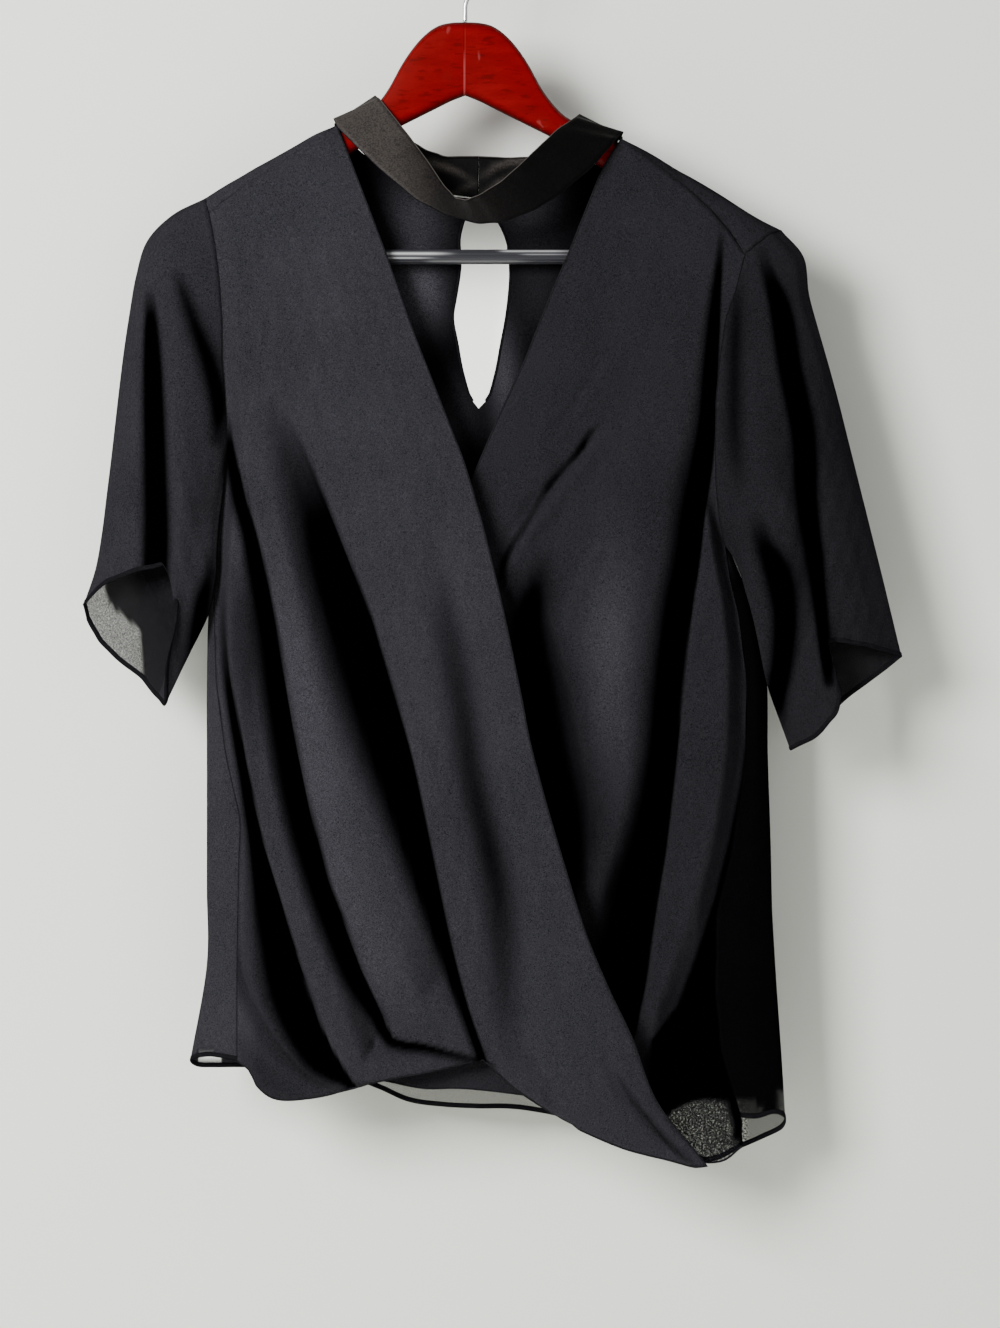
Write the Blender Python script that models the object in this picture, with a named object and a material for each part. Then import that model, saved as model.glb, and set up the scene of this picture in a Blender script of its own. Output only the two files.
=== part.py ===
"""V-neck blouse with a crossed, draped front, hung on a plain wooden hanger.

Frame: metres, +Z up, the front faces -Y, and the origin is the inner top of the hook.
The tables below are in millimetres and share that origin.  "Left" and "right" in names
are the wearer's, so the right side of the blouse lies at -X.
"""

import bmesh
import bpy
import numpy as np

MM = 0.001

CLOTH_WALL = 1.5
SEAM_INSET = 0.5
LIP = 4.0
WOOD_HALF = 6.5
WOOD_LIFT = 0.4
WRAP_RADIUS = 9.2
BAR_RADIUS = 5.0
BAR_HALF_LENGTH = 172.0
BAR_Z = -218.7
BORE_CLEARANCE = 0.3
BORE_HALF_LENGTH = 176.0
HOOK_WIRE_RADIUS = 1.7
LOOP_WIRE_RADIUS = 0.7
BUTTON_X = 13.0
BUTTON_TOP_Z = -153.5
BUTTON_LOW_Z = -172.5
LOOP_Y = 16.75
BACK_Y = 13.0
OVER_Y = -20.0
UNDER_Y = -13.0

CLOTH_COLOUR = (0.035, 0.036, 0.043, 1.0)
BAND_COLOUR = (0.045, 0.042, 0.042, 1.0)
WOOD_COLOUR = (0.33, 0.02, 0.012, 1.0)
BAR_COLOUR = (0.05, 0.05, 0.055, 1.0)
STEEL_COLOUR = (0.62, 0.62, 0.63, 1.0)

# top and underside of the hanger's wood: x, top z, under z
WOOD = (
    (0, -60.5, -110),
    (10, -61, -114),
    (18, -63, -118),
    (30, -72, -124),
    (42, -88, -130),
    (52, -106, -135),
    (64, -121, -141),
    (84, -132, -154),
    (104, -142, -166),
    (143, -163, -192),
    (160, -173, -216),
    (175, -182, -228),
    (188, -190, -231),
    (196, -196, -228),
    (200, -204, -220),
)

# armhole of the right sleeve, shoulder point to underarm, on the front: x, y, z
ARM_FRONT_R = (
    (-172, -9, -190),
    (-168, -10.5, -211),
    (-165, -11.5, -234),
    (-163, -12, -262),
    (-162.5, -12, -289),
    (-161, -12, -309),
    (-160, -11, -327),
    (-160, -9, -345),
    (-161, -6, -361),
)
# the same armhole over the shoulder and down the back: x, y, z
ARM_BACK_R = (
    (-172, -9, -190),
    (-173, -8.9, -187),
    (-174, -6.3, -182),
    (-175, 0, -179.3),
    (-174.5, 6.3, -182),
    (-174, 8.9, -188),
    (-172, 11, -200),
    (-169, 13, -225),
    (-167, 14, -255),
    (-166, 14, -290),
    (-165, 12, -320),
    (-163, 5, -346),
    (-161, -6, -361),
)
ARM_FRONT_L = (
    (188, -10, -218),
    (182, -11, -241),
    (175, -12, -262),
    (171, -12, -289),
    (168.5, -12, -316),
    (168, -12, -345),
    (168.5, -11, -372),
    (171, -9, -396),
    (175, -6, -413),
)
ARM_BACK_L = (
    (188, -10, -218),
    (195, -10, -212),
    (205, -7, -204),
    (213, 0, -201),
    (213, 7, -204),
    (211, 10, -212),
    (207, 12, -225),
    (201, 13, -250),
    (195, 14, -280),
    (189, 14, -315),
    (184, 12, -350),
    (179, 4, -390),
    (175, -6, -413),
)
# side seams below the underarm, with the outermost x of the body's fold: x, y, z, fold x
SIDE_R = (
    (-161, -6, -361, -162),
    (-163.5, -8.5, -386, -166.5),
    (-166, -9, -412, -170),
    (-168.5, -9, -457, -173),
    (-167, -10, -504, -174),
    (-161, -11, -551, -174),
    (-151, -12, -598, -174),
    (-152, -12, -638, -174),
    (-153, -12, -690, -174),
    (-153, -12, -759, -185),
)
SIDE_L = (
    (175, -6, -413, 176),
    (178, -9, -435, 182),
    (184, -11, -462, 194.5),
    (189, -12, -504, 203),
    (188, -12, -557, 204),
    (179, -12, -618, 206),
    (169, -12, -661, 207),
    (168, -12, -712, 210),
    (172, -12, -752, 213),
    (185, -12, -797, 216),
)
SIDE_L_VENT = (186, -12, -816)

# shoulder seams, armhole to neck: x, z
SHOULDER_R = ((-172, -190), (-146, -170.5), (-86, -131))
SHOULDER_L = ((188, -218), (171, -194), (147, -171), (105, -140))

# back neckline from the neck point to the slit: x, y, z
NECK_R = (
    (-86, -9, -131),
    (-88, -2, -129),
    (-87, 4, -130),
    (-82, 9, -136),
    (-66, 12, -150),
    (-45, 14, -164),
    (-20, 15, -174),
    (7.5, 15, -178),
)
NECK_L = (
    (105, -9, -140),
    (106, -2, -138),
    (104.5, 4, -139.5),
    (98.5, 9, -146.5),
    (81, 12, -159.5),
    (60, 13.5, -168),
    (34, 14.5, -175),
    (10.5, 15, -178),
)
# keyhole of the back: z, left edge x, right edge x
KEYHOLE = (
    (-178, 7.5, 10.5),
    (-190, 0.5, 20),
    (-201, -3, 26),
    (-224, -3, 30),
    (-245, -6, 29),
    (-257, -8, 27.5),
    (-276, -5, 24),
    (-301, 0, 19),
    (-314, 4.5, 14.5),
    (-320, 9, 9),
)
# back hem, side to centre, one row a column of the half: x, z
HEM_BACK_R = (
    (-153, -759),
    (-163, -757.5),
    (-174, -757),
    (-185, -760),
    (-181, -765),
    (-170, -766),
    (-150, -766),
    (-128, -768),
    (-105, -771),
    (-78, -775),
    (-58, -781),
    (-38, -790),
    (-14, -793),
    (9, -794),
)
HEM_BACK_L = (
    (185, -797),
    (196, -796),
    (208, -797),
    (216, -801),
    (213, -807),
    (202, -814),
    (186, -819),
    (160, -819),
    (132, -814),
    (106, -808),
    (80, -803),
    (55, -798),
    (32, -795),
    (9, -794),
)
# soft folds of the back: x at the yoke, x at the hem, half width, height
BACK_FOLDS = (
    (-120, -128, 15, 6),
    (-62, -84, 18, 8),
    (-8, -30, 15, 6),
    (48, 40, 19, 9),
    (100, 112, 17, 7),
    (150, 168, 13, 5),
)

# lines down the over panel: z, side seam, fold 1, fold 2, strip, soft trough, free edge
OVER_LINES = (
    (-361, -161, -153, -146, -103, -40, 1),
    (-410, -166, -158, -137, -82, -23, 15),
    (-457, -168, -161, -128, -64, -12, 26),
    (-504, -167, -157, -119, -50, -3, 36),
    (-551, -161, -149, -111, -36, 5, 45),
    (-598, -151, -138, -101, -26, 13, 58),
    (-638, -152, -125, -91, -18, 22, 70),
    (-671, -153, -115, -78, -11, 25, 80),
    (-705, -153, -103, -65, -3, 28, 94),
    (-728, -153, -96, -54, 4, 34, 105),
    (-743, -153, -90, -49, 9, 40, 112),
    (-760, -153, -80, -46, 15, 50, 119),
    (-776, -153, -75, -42, 22, 61, 125),
    (-792, -153, -75, -40, 34, 72, 131),
    (-812, -153, -75, -40, 45, 84, 142),
    (-829, -153, -75, -40, 56, 94, 163),
)
# free edge of the over panel above the crossing: z, x
OVER_EDGE = (
    (-131, -86),
    (-156, -76),
    (-214, -54),
    (-271, -34),
    (-361, 1),
)
# lower edge of the over panel: x, z
OVER_HEM = (
    (-153, -760),
    (-144, -766),
    (-138, -777),
    (-124, -785),
    (-97, -783),
    (-75, -777),
    (-54, -771),
    (-22, -765),
    (9, -758),
    (15, -759),
    (34, -776),
    (56, -791),
    (68, -799),
    (104, -815),
    (136, -824),
    (157, -829),
    (163, -827),
)
# lines down the under panel: z, free edge, centre, ridge 5 right, fold 6 left, fold 6 right, seam
UNDER_LINES = (
    (-218, 69, 110, 160, 172, 181, 188),
    (-241, 59, 106, 158, 168, 175, 182),
    (-289, 40, 95, 152, 162, 167, 171),
    (-330, 21, 86, 150, 159, 164, 168),
    (-372, 3, 72, 143, 158, 163, 168.5),
    (-413, -6, 66, 142, 157, 168, 175),
    (-462, -17, 72, 127, 151, 180, 187),
    (-504, -25, 76, 121, 146, 184, 190),
    (-557, -35, 80, 117, 141, 183, 188),
    (-618, -47, 84, 102, 134, 173, 179),
    (-661, -57, 60, 79, 127, 158, 169),
    (-712, -69, 40, 62, 119, 142, 168),
    (-752, -77, 30, 54, 110, 128, 172),
    (-797, -82, 20, 50, 100, 130, 185),
    (-830, -84, 16, 48, 98, 130, 186),
)
UNDER_EDGE = (
    (-140, 105),
    (-160, 92),
    (-214, 70),
)
UNDER_HEM = (
    (-84, -768),
    (-54, -773),
    (-28, -778),
    (-3, -778),
    (28, -781),
    (50, -785),
    (84, -797),
    (117, -812),
    (151, -823),
    (174, -826),
    (186, -816),
)

# draped folds of the over panel: the line of the fold's leading edge x, z, with its
# height and the width of its crown at that point
SWAG_0 = (
    (-149, -602, 0, 12),
    (-152, -640, 5, 12),
    (-147, -690, 9, 14),
    (-138, -718, 10, 16),
    (-125, -743, 10, 16),
    (-97, -772, 8, 14),
    (-76, -777, 5, 12),
)
SWAG_1 = (
    (-153, -343, 0, 8),
    (-156, -384, 5, 12),
    (-160.5, -437, 9, 16),
    (-158, -487, 12, 17),
    (-149, -530, 14, 17),
    (-142, -574, 15, 17),
    (-134, -609, 15, 17),
    (-122, -649, 15, 17),
    (-113, -681, 15, 18),
    (-100, -712, 14, 18),
    (-90, -743, 13, 18),
    (-75, -771, 12, 16),
    (-54, -771, 11, 14),
    (-22, -765, 10, 12),
    (9, -757, 8, 10),
)
SWAG_2 = (
    (-152, -315, 0, 12),
    (-148, -343, 2, 16),
    (-143, -375, 5, 18),
    (-133, -427, 9, 20),
    (-124, -478, 12, 24),
    (-115, -531, 14, 32),
    (-107, -568, 15, 38),
    (-100, -602, 15, 46),
    (-91, -637, 15, 52),
    (-78, -671, 15, 50),
    (-66, -703, 14, 40),
    (-54, -728, 13, 30),
    (-48, -742, 12, 22),
    (-28, -746, 11, 16),
    (-9, -752, 10, 12),
    (15, -757, 8, 10),
)
STRIP = (
    (-130, -300, 0, 60),
    (-110, -343, 4, 60),
    (-94, -381, 9, 60),
    (-82, -412, 12, 60),
    (-66, -452, 15, 60),
    (-54, -493, 17, 60),
    (-38, -543, 18, 60),
    (-25, -600, 18, 60),
    (-11, -668, 18, 60),
    (-3, -703, 18, 60),
    (5, -731, 17, 60),
    (15, -759, 15, 60),
    (34, -776, 10, 60),
    (60, -793, 6, 60),
)
# soft trough down the strip: x, z, depth, half width
STRIP_TROUGH = (
    (-20, -380, 0, 12),
    (-12, -457, 3, 12),
    (-3, -504, 5, 11),
    (6, -551, 6, 10),
    (15, -598, 6, 10),
    (24, -638, 6, 10),
    (27, -671, 5, 10),
    (34, -728, 4, 10),
    (60, -780, 2, 10),
)
# folds of the under panel: line x, z, height, crown width
UNDER_RIDGE_5 = (
    (20, -380, 0, 90),
    (44, -420, 6, 84),
    (58, -460, 10, 66),
    (67, -494, 12, 54),
    (80, -551, 13, 40),
    (84, -600, 13, 26),
    (80, -645, 11, 12),
    (74, -668, 6, 6),
)
UNDER_RIDGE_6 = (
    (160, -370, 0, 8),
    (157, -410, 6, 14),
    (151, -460, 12, 28),
    (145, -511, 14, 38),
    (141, -561, 15, 40),
    (135, -611, 14, 36),
    (127, -661, 13, 28),
    (122, -698, 12, 18),
    (114, -742, 9, 8),
    (112, -752, 3, 5),
)
# trough beside the left armhole: x, z, depth, half width
UNDER_TROUGH = (
    (173, -225, 0, 6),
    (167, -276, 3, 7),
    (158, -330, 4, 8),
    (150, -380, 5, 10),
    (148, -430, 4, 10),
    (140, -470, 0, 10),
)

# neck band: bottom x, y, z, top x, y, z, along the free front from the wearer's right
BAND_FRONT = (
    (-89, -6, -127, -57, -7.8, -114),
    (-86, -14, -133.5, -47, -11.5, -127),
    (-75, -17.5, -145, -37, -15.5, -140),
    (-57, -24, -163, -25, -22, -157),
    (-33, -31, -184, -14, -29, -174),
    (-13, -35, -195, -6, -33, -183),
    (9, -37, -201, 1, -35, -184.5),
    (26, -37, -200, 10, -35, -181),
    (46, -34, -192, 24, -32, -172),
    (62, -30, -182, 36, -28, -161),
    (86, -22, -161, 50, -22, -147),
    (101, -15, -143, 62, -14.5, -135),
    (107, -6.5, -136, 73.5, -7.8, -126.5),
)
# top edge of the band above each point of the back neckline, neck point last: x, y, z
BAND_BACK_TOP_R = (
    (8, 15, -149),
    (-13, 15.5, -149),
    (-26, 14.5, -145),
    (-38, 12.5, -138),
    (-49, 9.5, -127),
    (-56, 7.8, -115),
    (-60.5, -1, -110.5),
)
BAND_BACK_TOP_L = (
    (10, 15, -149),
    (30, 15, -150),
    (44, 14, -149.5),
    (54, 12.5, -147),
    (66, 9.5, -137),
    (73, 7.8, -127),
    (77, -1, -123),
)

# right sleeve: outer edge and inner edge from the armhole to the hem: x, y, z
SLEEVE_OUT_R = (
    (-175, 0, -179.3),
    (-202, 0, -193),
    (-215, 0, -209),
    (-223, 0, -236),
    (-231, 0, -289),
    (-239, 0, -359),
    (-247, 0, -423),
    (-257, 0, -453),
)
SLEEVE_IN_R = (
    (-161, -6, -361),
    (-165.5, -11.5, -381),
    (-167, -14.5, -408),
    (-168, -15.5, -436),
    (-174, -13.5, -461),
    (-188, -9, -492),
    (-202, -5, -521),
)
# hem of the right sleeve: share of the way from outer to inner edge, x, y, z
SLEEVE_HEM_FRONT_R = (
    (0.0, -257, 0, -453),
    (0.12, -244, -10, -440),
    (0.3, -221, -15, -431),
    (0.5, -197, -17, -427),
    (0.62, -192, -24, -452),
    (0.76, -194, -25, -471),
    (0.9, -200, -18, -494),
    (1.0, -202, -5, -521),
)
SLEEVE_HEM_BACK_R = (
    (0.0, -257, 0, -453),
    (0.15, -255, 8, -465),
    (0.35, -247, 12, -479),
    (0.55, -234, 13, -492),
    (0.75, -220, 12, -502),
    (0.9, -211, 6, -513),
    (1.0, -202, -5, -521),
)
SLEEVE_OUT_L = (
    (213, 0, -201),
    (220, 0, -204),
    (227, 0, -212),
    (232, 0, -247),
    (249, 0, -306),
    (265, 0, -370),
    (281, 0, -434),
    (294, 0, -488),
)
SLEEVE_IN_L = (
    (175, -6, -413),
    (183.5, -12, -427),
    (190.5, -16.5, -441),
    (196.5, -18.5, -457),
    (200.5, -19, -474),
    (202, -18, -490),
    (204, -14.5, -509),
    (219, -5, -551),
)
SLEEVE_HEM_FRONT_L = (
    (0.0, 294, 0, -488),
    (0.15, 272, -11, -482),
    (0.33, 250, -15, -478),
    (0.45, 242, -18, -479),
    (0.58, 250, -26, -510),
    (0.68, 250, -26, -524),
    (0.85, 236, -18, -542),
    (1.0, 219, -5, -551),
)
SLEEVE_HEM_BACK_L = (
    (0.0, 294, 0, -488),
    (0.2, 284, 9, -497),
    (0.5, 256, 13, -518),
    (0.8, 238, 9, -538),
    (1.0, 219, -5, -551),
)
# folds along the right sleeve: share across at the armhole, at the hem, half width, height
SLEEVE_FOLDS_R = (
    (0.12, 0.2, 0.1, 3.0),
    (0.3, 0.42, 0.08, -5.0),
    (0.62, 0.66, 0.14, 5.0),
)
SLEEVE_FOLDS_L = (
    (0.1, 0.2, 0.1, 3.0),
    (0.3, 0.42, 0.08, -5.0),
    (0.55, 0.62, 0.14, 6.0),
)

# section of a button from its stem to its domed face: radius, y
BUTTON_PROFILE = (
    (1.2, 16.0),
    (1.2, 17.7),
    (3.4, 17.8),
    (4.0, 18.6),
    (3.6, 19.8),
    (2.0, 20.5),
    (0.6, 20.7),
)
# one thread loop from the slit's other side round the stem: x, z from the button's centre
LOOP_LINE = (
    (3, 1.4),
    (7.5, 2.1),
    (11, 2.6),
    (14, 2.4),
    (15.8, 1.3),
    (16.2, 0),
    (15.8, -1.3),
    (14, -2.4),
    (11, -2.6),
    (7.5, -2.1),
    (3, -1.4),
)

# centre line of the hook: x, z
HOOK_LINE = (
    (0, -60.1),
    (0, -54),
    (0.3, -48.5),
    (2.6, -43.2),
    (8, -38.4),
    (13.9, -31.9),
    (18.2, -25.5),
    (19.7, -18),
    (18.2, -10.5),
    (13.9, -4.1),
    (7.5, 0.2),
    (0, 1.7),
    (-7.5, 0.2),
    (-13.9, -4.1),
    (-18.2, -10.5),
    (-19.7, -18),
    (-18.6, -24.4),
)


def clear_scene():
    for item in list(bpy.data.objects):
        bpy.data.objects.remove(item, do_unlink=True)


def material(name, colour, roughness, metallic=0.0):
    made = bpy.data.materials.new(name)
    made.use_nodes = True
    shader = made.node_tree.nodes["Principled BSDF"]
    shader.inputs["Base Color"].default_value = colour
    shader.inputs["Roughness"].default_value = roughness
    shader.inputs["Metallic"].default_value = metallic
    made.diffuse_color = colour
    return made


def add_solid(name, points, faces, made_of):
    """Add a closed mesh given in millimetres, facing outwards."""
    mesh = bpy.data.meshes.new(name)
    mesh.from_pydata((np.asarray(points, dtype=float) * MM).tolist(), [], faces)
    mesh.update()
    shape = bmesh.new()
    shape.from_mesh(mesh)
    bmesh.ops.recalc_face_normals(shape, faces=shape.faces)
    shape.to_mesh(mesh)
    shape.free()
    mesh.polygons.foreach_set("use_smooth", [True] * len(mesh.polygons))
    mesh.materials.append(made_of)
    item = bpy.data.objects.new(name, mesh)
    bpy.context.collection.objects.link(item)
    return item


def smooth(value, low, high):
    """0 below low, 1 above high, with a soft step between."""
    share = np.clip((value - low) / (high - low), 0.0, 1.0)
    return share * share * (3.0 - 2.0 * share)


def resample(line, count):
    """Points at even distances along a line of points, ends kept."""
    line = np.asarray(line, dtype=float)
    steps = np.linalg.norm(np.diff(line, axis=0), axis=1)
    along = np.concatenate([[0.0], np.cumsum(steps)])
    wanted = np.linspace(0.0, along[-1], count)
    return np.stack([np.interp(wanted, along, line[:, k]) for k in range(line.shape[1])], axis=1)


def halve(line):
    """The same line with the middle of each step added."""
    line = np.asarray(line, dtype=float)
    out = np.empty((2 * len(line) - 1, line.shape[1]))
    out[0::2] = line
    out[1::2] = 0.5 * (line[:-1] + line[1:])
    return out


def beside(line, x, z):
    """Signed distance from a line (right of it or above it is positive) and its row's values.

    The line runs downwards, and each row is x, z and two values that are carried along it.
    """
    line = np.asarray(line, dtype=float)
    best = np.full(np.shape(x), 1e9)
    sign = np.ones(np.shape(x))
    first = np.zeros(np.shape(x))
    second = np.zeros(np.shape(x))
    for start, end in zip(line[:-1], line[1:]):
        step = end[:2] - start[:2]
        share = ((x - start[0]) * step[0] + (z - start[1]) * step[1]) / step.dot(step)
        share = np.clip(share, 0.0, 1.0)
        away_x = x - start[0] - share * step[0]
        away_z = z - start[1] - share * step[1]
        away = np.hypot(away_x, away_z)
        nearer = away < best
        best = np.where(nearer, away, best)
        side = np.sign(step[0] * (z - start[1]) - step[1] * (x - start[0]))
        sign = np.where(nearer, side, sign)
        first = np.where(nearer, start[2] + share * (end[2] - start[2]), first)
        second = np.where(nearer, start[3] + share * (end[3] - start[3]), second)
    return sign * best, first, second


def fold_height(line, x, z, lip):
    """Height of a draped fold: a quick rise at its line, a crown, then a long fall."""
    away, height, crown = beside(line, x, z)
    rise = smooth(away, -lip, 0.0)
    fall = 1.0 - smooth(away, 0.7 * crown, 1.5 * crown + 6.0)
    return height * rise * fall


def trough_depth(line, x, z):
    """Depth of a soft trough that follows a line."""
    away, depth, half = beside(line, x, z)
    return depth * np.exp(-((away / half) ** 2))


def over_depth(x, z, lip):
    """Distance of the over panel in front of the hanger's plane, as -Y."""
    rest = -9.0 + (OVER_Y + 9.0) * smooth(-z, 130.0, 330.0)
    folds = np.stack(
        [fold_height(line, x, z, lip) for line in (SWAG_0, SWAG_1, SWAG_2)], axis=0
    ).max(axis=0)
    away, height, _ = beside(STRIP, x, z)
    strip = height * smooth(away, -lip, 0.0)
    folds = np.maximum(folds, strip) - trough_depth(STRIP_TROUGH, x, z)
    return rest - folds


def under_depth(x, z, lip):
    """Distance of the under panel in front of the hanger's plane, as -Y."""
    rest = -9.0 + (UNDER_Y + 9.0) * smooth(-z, 130.0, 260.0)
    edge = np.interp(-z, [-row[0] for row in OVER_LINES], [row[6] for row in OVER_LINES])
    shown = smooth(x - edge, 4.0, 24.0)
    folds = fold_height(UNDER_RIDGE_5, x, z, 3.0 * lip)
    folds = np.maximum(folds, fold_height(UNDER_RIDGE_6, x, z, lip))
    return rest - folds * shown + trough_depth(UNDER_TROUGH, x, z)


def spread(knots, spans):
    """Places between the knots of a row, with the given number of steps in each span."""
    pieces = []
    for k, steps in enumerate(spans):
        part = np.linspace(0.0, 1.0, steps + 1)[:-1]
        pieces.append(knots[..., k : k + 1] * (1 - part) + knots[..., k + 1 : k + 2] * part)
    pieces.append(knots[..., -1:])
    return np.concatenate(pieces, axis=-1)


def square_to(rim, inner):
    """Unit steps from a rim towards the next row of points, square to the rim."""
    along = np.gradient(rim, axis=0)
    along /= np.maximum(np.linalg.norm(along, axis=1, keepdims=True), 1e-9)
    step = inner - rim
    step = step - along * np.sum(step * along, axis=1, keepdims=True)
    return step / np.maximum(np.linalg.norm(step, axis=1, keepdims=True), 1e-9)


def inset(grid, inset_by):
    """Draw the rim of a grid of points inwards by a small distance, for the seam's gap."""
    out = grid.copy()
    for index, inner in ((0, 1), (-1, -2)):
        rim = grid[:, index]
        away = np.minimum(np.linalg.norm(rim - ARM_FRONT_R[-1], axis=1),
                          np.linalg.norm(rim - ARM_FRONT_L[-1], axis=1))
        eased = inset_by * (1.0 + 1.8 * np.exp(-((away / 20.0) ** 2)))
        out[:, index] += eased[:, None] * square_to(rim, grid[:, inner])
    for index, inner in ((0, 1), (-1, -2)):
        out[index] += inset_by * square_to(out[index], out[inner])
    return out


def grid_faces(rows, columns, start=0, closed=False):
    """Four-sided faces of a grid of points numbered row by row."""
    faces = []
    last = columns if closed else columns - 1
    for r in range(rows - 1):
        for c in range(last):
            right = (c + 1) % columns
            a = start + r * columns + c
            b = start + r * columns + right
            faces.append((a, b, b + columns, a + columns))
    return faces


def sheet_solid(name, points, faces, wall, made_of):
    """Give a sheet of four-sided faces an even wall and close its rims."""
    points = np.asarray(points, dtype=float)
    corners = points[np.asarray(faces)]
    across = np.cross(corners[:, 2] - corners[:, 0], corners[:, 3] - corners[:, 1])
    normals = np.zeros_like(points)
    for k in range(4):
        np.add.at(normals, np.asarray(faces)[:, k], across)
    normals /= np.maximum(np.linalg.norm(normals, axis=1, keepdims=True), 1e-9)
    count = len(points)
    both = np.concatenate([points + 0.5 * wall * normals, points - 0.5 * wall * normals])
    uses = {}
    for face in faces:
        for k in range(4):
            edge = (face[k], face[(k + 1) % 4])
            uses[edge] = uses.get(edge, 0) + 1
    skin = [tuple(face) for face in faces]
    skin += [tuple(count + v for v in reversed(face)) for face in faces]
    for a, b in uses:
        if (b, a) not in uses:
            skin.append((b, a, count + a, count + b))
    return add_solid(name, both, skin, made_of)


def wood_top(x):
    table = np.asarray(WOOD, dtype=float)
    return np.interp(np.abs(x), table[:, 0], table[:, 1])


def over_panel_grid(lip):
    """Grid of the over panel: rows from shoulder to lower edge, columns from seam to free edge."""
    seam = np.concatenate([ARM_FRONT_R, [row[:3] for row in SIDE_R[1:]]])
    seam = halve(seam)
    top = resample([(x, -9.0, z) for x, z in SHOULDER_R], 7)
    top[0] = seam[0]
    top = halve(halve(top))
    table = np.asarray(OVER_LINES, dtype=float)
    edge_up = np.asarray(OVER_EDGE, dtype=float)
    rows = len(seam)
    columns = len(top)
    spans = (1, 1, 5, 1, 5, 1, 5, 5)
    share = np.linspace(0.0, 1.0, rows)
    low = np.asarray(OVER_HEM, dtype=float)
    ends = np.array([-760.0, -760.0, -777.0, -765.0, -771.0, -759.0, -759.0, -809.0, -828.0])
    starts = np.interp(np.linspace(0, columns - 1, 9), np.arange(columns), top[:, 2])
    grid = np.zeros((rows, columns, 3))
    levels = (-seam[:, 2] - 190.0) / (759.0 - 190.0)
    for r in range(rows):
        level = levels[r]
        z = starts + (ends - starts) * level
        z[0] = seam[r, 2]
        line = [np.interp(-z[k], -table[:, 0], table[:, j]) for k, j in zip(
            (1, 2, 3, 4, 5, 6, 7, 8), (2, 2, 3, 3, 4, 4, 5, 6))]
        line = np.array([seam[r, 0]] + line)
        line[8] = np.interp(-z[8], np.concatenate([-edge_up[:, 0], -table[1:, 0]]),
                            np.concatenate([edge_up[:, 1], table[1:, 6]]))
        for k in (1, 3, 5):
            line[k] -= lip + 0.5
        x = spread(line, spans)
        zz = spread(z, spans)
        fade = smooth(np.full(columns, level), 0.0, 0.35)
        even = seam[r, 0] + (line[8] - seam[r, 0]) * (top[:, 0] - top[0, 0]) / (top[-1, 0] - top[0, 0])
        even_z = z[0] + (z[8] - z[0]) * np.linspace(0, 1, columns)
        x = even + (x - even) * fade
        zz = even_z + (zz - even_z) * fade
        grid[r, :, 0] = x
        grid[r, :, 2] = zz
    grid[0] = top
    drop = np.interp(grid[-1, :, 0], low[:, 0], low[:, 1]) - grid[-1, :, 2]
    grid[:, :, 2] += drop[None, :] * (share[:, None] ** 6)
    depth = over_depth(grid[:, :, 0], grid[:, :, 2], lip)
    near = smooth(grid[:, :, 0] - seam[:, None, 0], 1.0, 12.0)
    depth = seam[:, 1:2] + (depth - seam[:, 1:2]) * near
    grid[:, :, 1] = depth
    grid[0] = top
    grid[:, 0] = seam
    return grid


def under_panel_grid(lip):
    """Grid of the under panel: rows from shoulder to hem, columns from free edge to seam."""
    seam = np.concatenate([ARM_FRONT_L, [row[:3] for row in SIDE_L[1:]], [SIDE_L_VENT]])
    seam = halve(seam)
    top = resample([(x, -9.0, z) for x, z in SHOULDER_L], 7)
    top[0] = seam[0]
    top = halve(halve(top))[::-1]
    table = np.asarray(UNDER_LINES, dtype=float)
    edge_up = np.asarray(UNDER_EDGE, dtype=float)
    rows = len(seam)
    columns = len(top)
    spans = (7, 5, 4, 5, 3)
    ends = np.array([-768.0, -781.0, -785.0, -806.0, -817.0, -816.0])
    starts = np.interp(np.linspace(0, columns - 1, 6), np.arange(columns), top[:, 2])
    low = np.asarray(UNDER_HEM, dtype=float)
    share = np.linspace(0.0, 1.0, rows)
    grid = np.zeros((rows, columns, 3))
    levels = (-seam[:, 2] - 218.0) / (816.0 - 218.0)
    edge_z = np.concatenate([-edge_up[:-1, 0], -table[:, 0]])
    edge_x = np.concatenate([edge_up[:-1, 1], table[:, 1]])
    for r in range(rows):
        level = levels[r]
        z = starts + (ends - starts) * level
        z[5] = seam[r, 2]
        line = [np.interp(-z[0], edge_z, edge_x)]
        line += [np.interp(-z[k], -table[:, 0], table[:, k + 1]) for k in range(1, 5)]
        line = np.array(line + [seam[r, 0]])
        x = spread(line, spans)
        zz = spread(z, spans)
        fade = smooth(np.full(columns, level), 0.0, 0.35)
        even = line[0] + (line[5] - line[0]) * (top[:, 0] - top[0, 0]) / (top[-1, 0] - top[0, 0])
        even_z = z[0] + (z[5] - z[0]) * np.linspace(0, 1, columns)
        grid[r, :, 0] = even + (x - even) * fade
        grid[r, :, 2] = even_z + (zz - even_z) * fade
    grid[0] = top
    drop = np.interp(grid[-1, :, 0], low[:, 0], low[:, 1]) - grid[-1, :, 2]
    grid[:, :, 2] += drop[None, :] * (share[:, None] ** 6)
    depth = under_depth(grid[:, :, 0], grid[:, :, 2], lip)
    near = smooth(seam[:, None, 0] - grid[:, :, 0], 1.0, 14.0)
    grid[:, :, 1] = seam[:, 1:2] + (depth - seam[:, 1:2]) * near
    grid[0] = top
    grid[:, -1] = seam
    return grid


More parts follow.
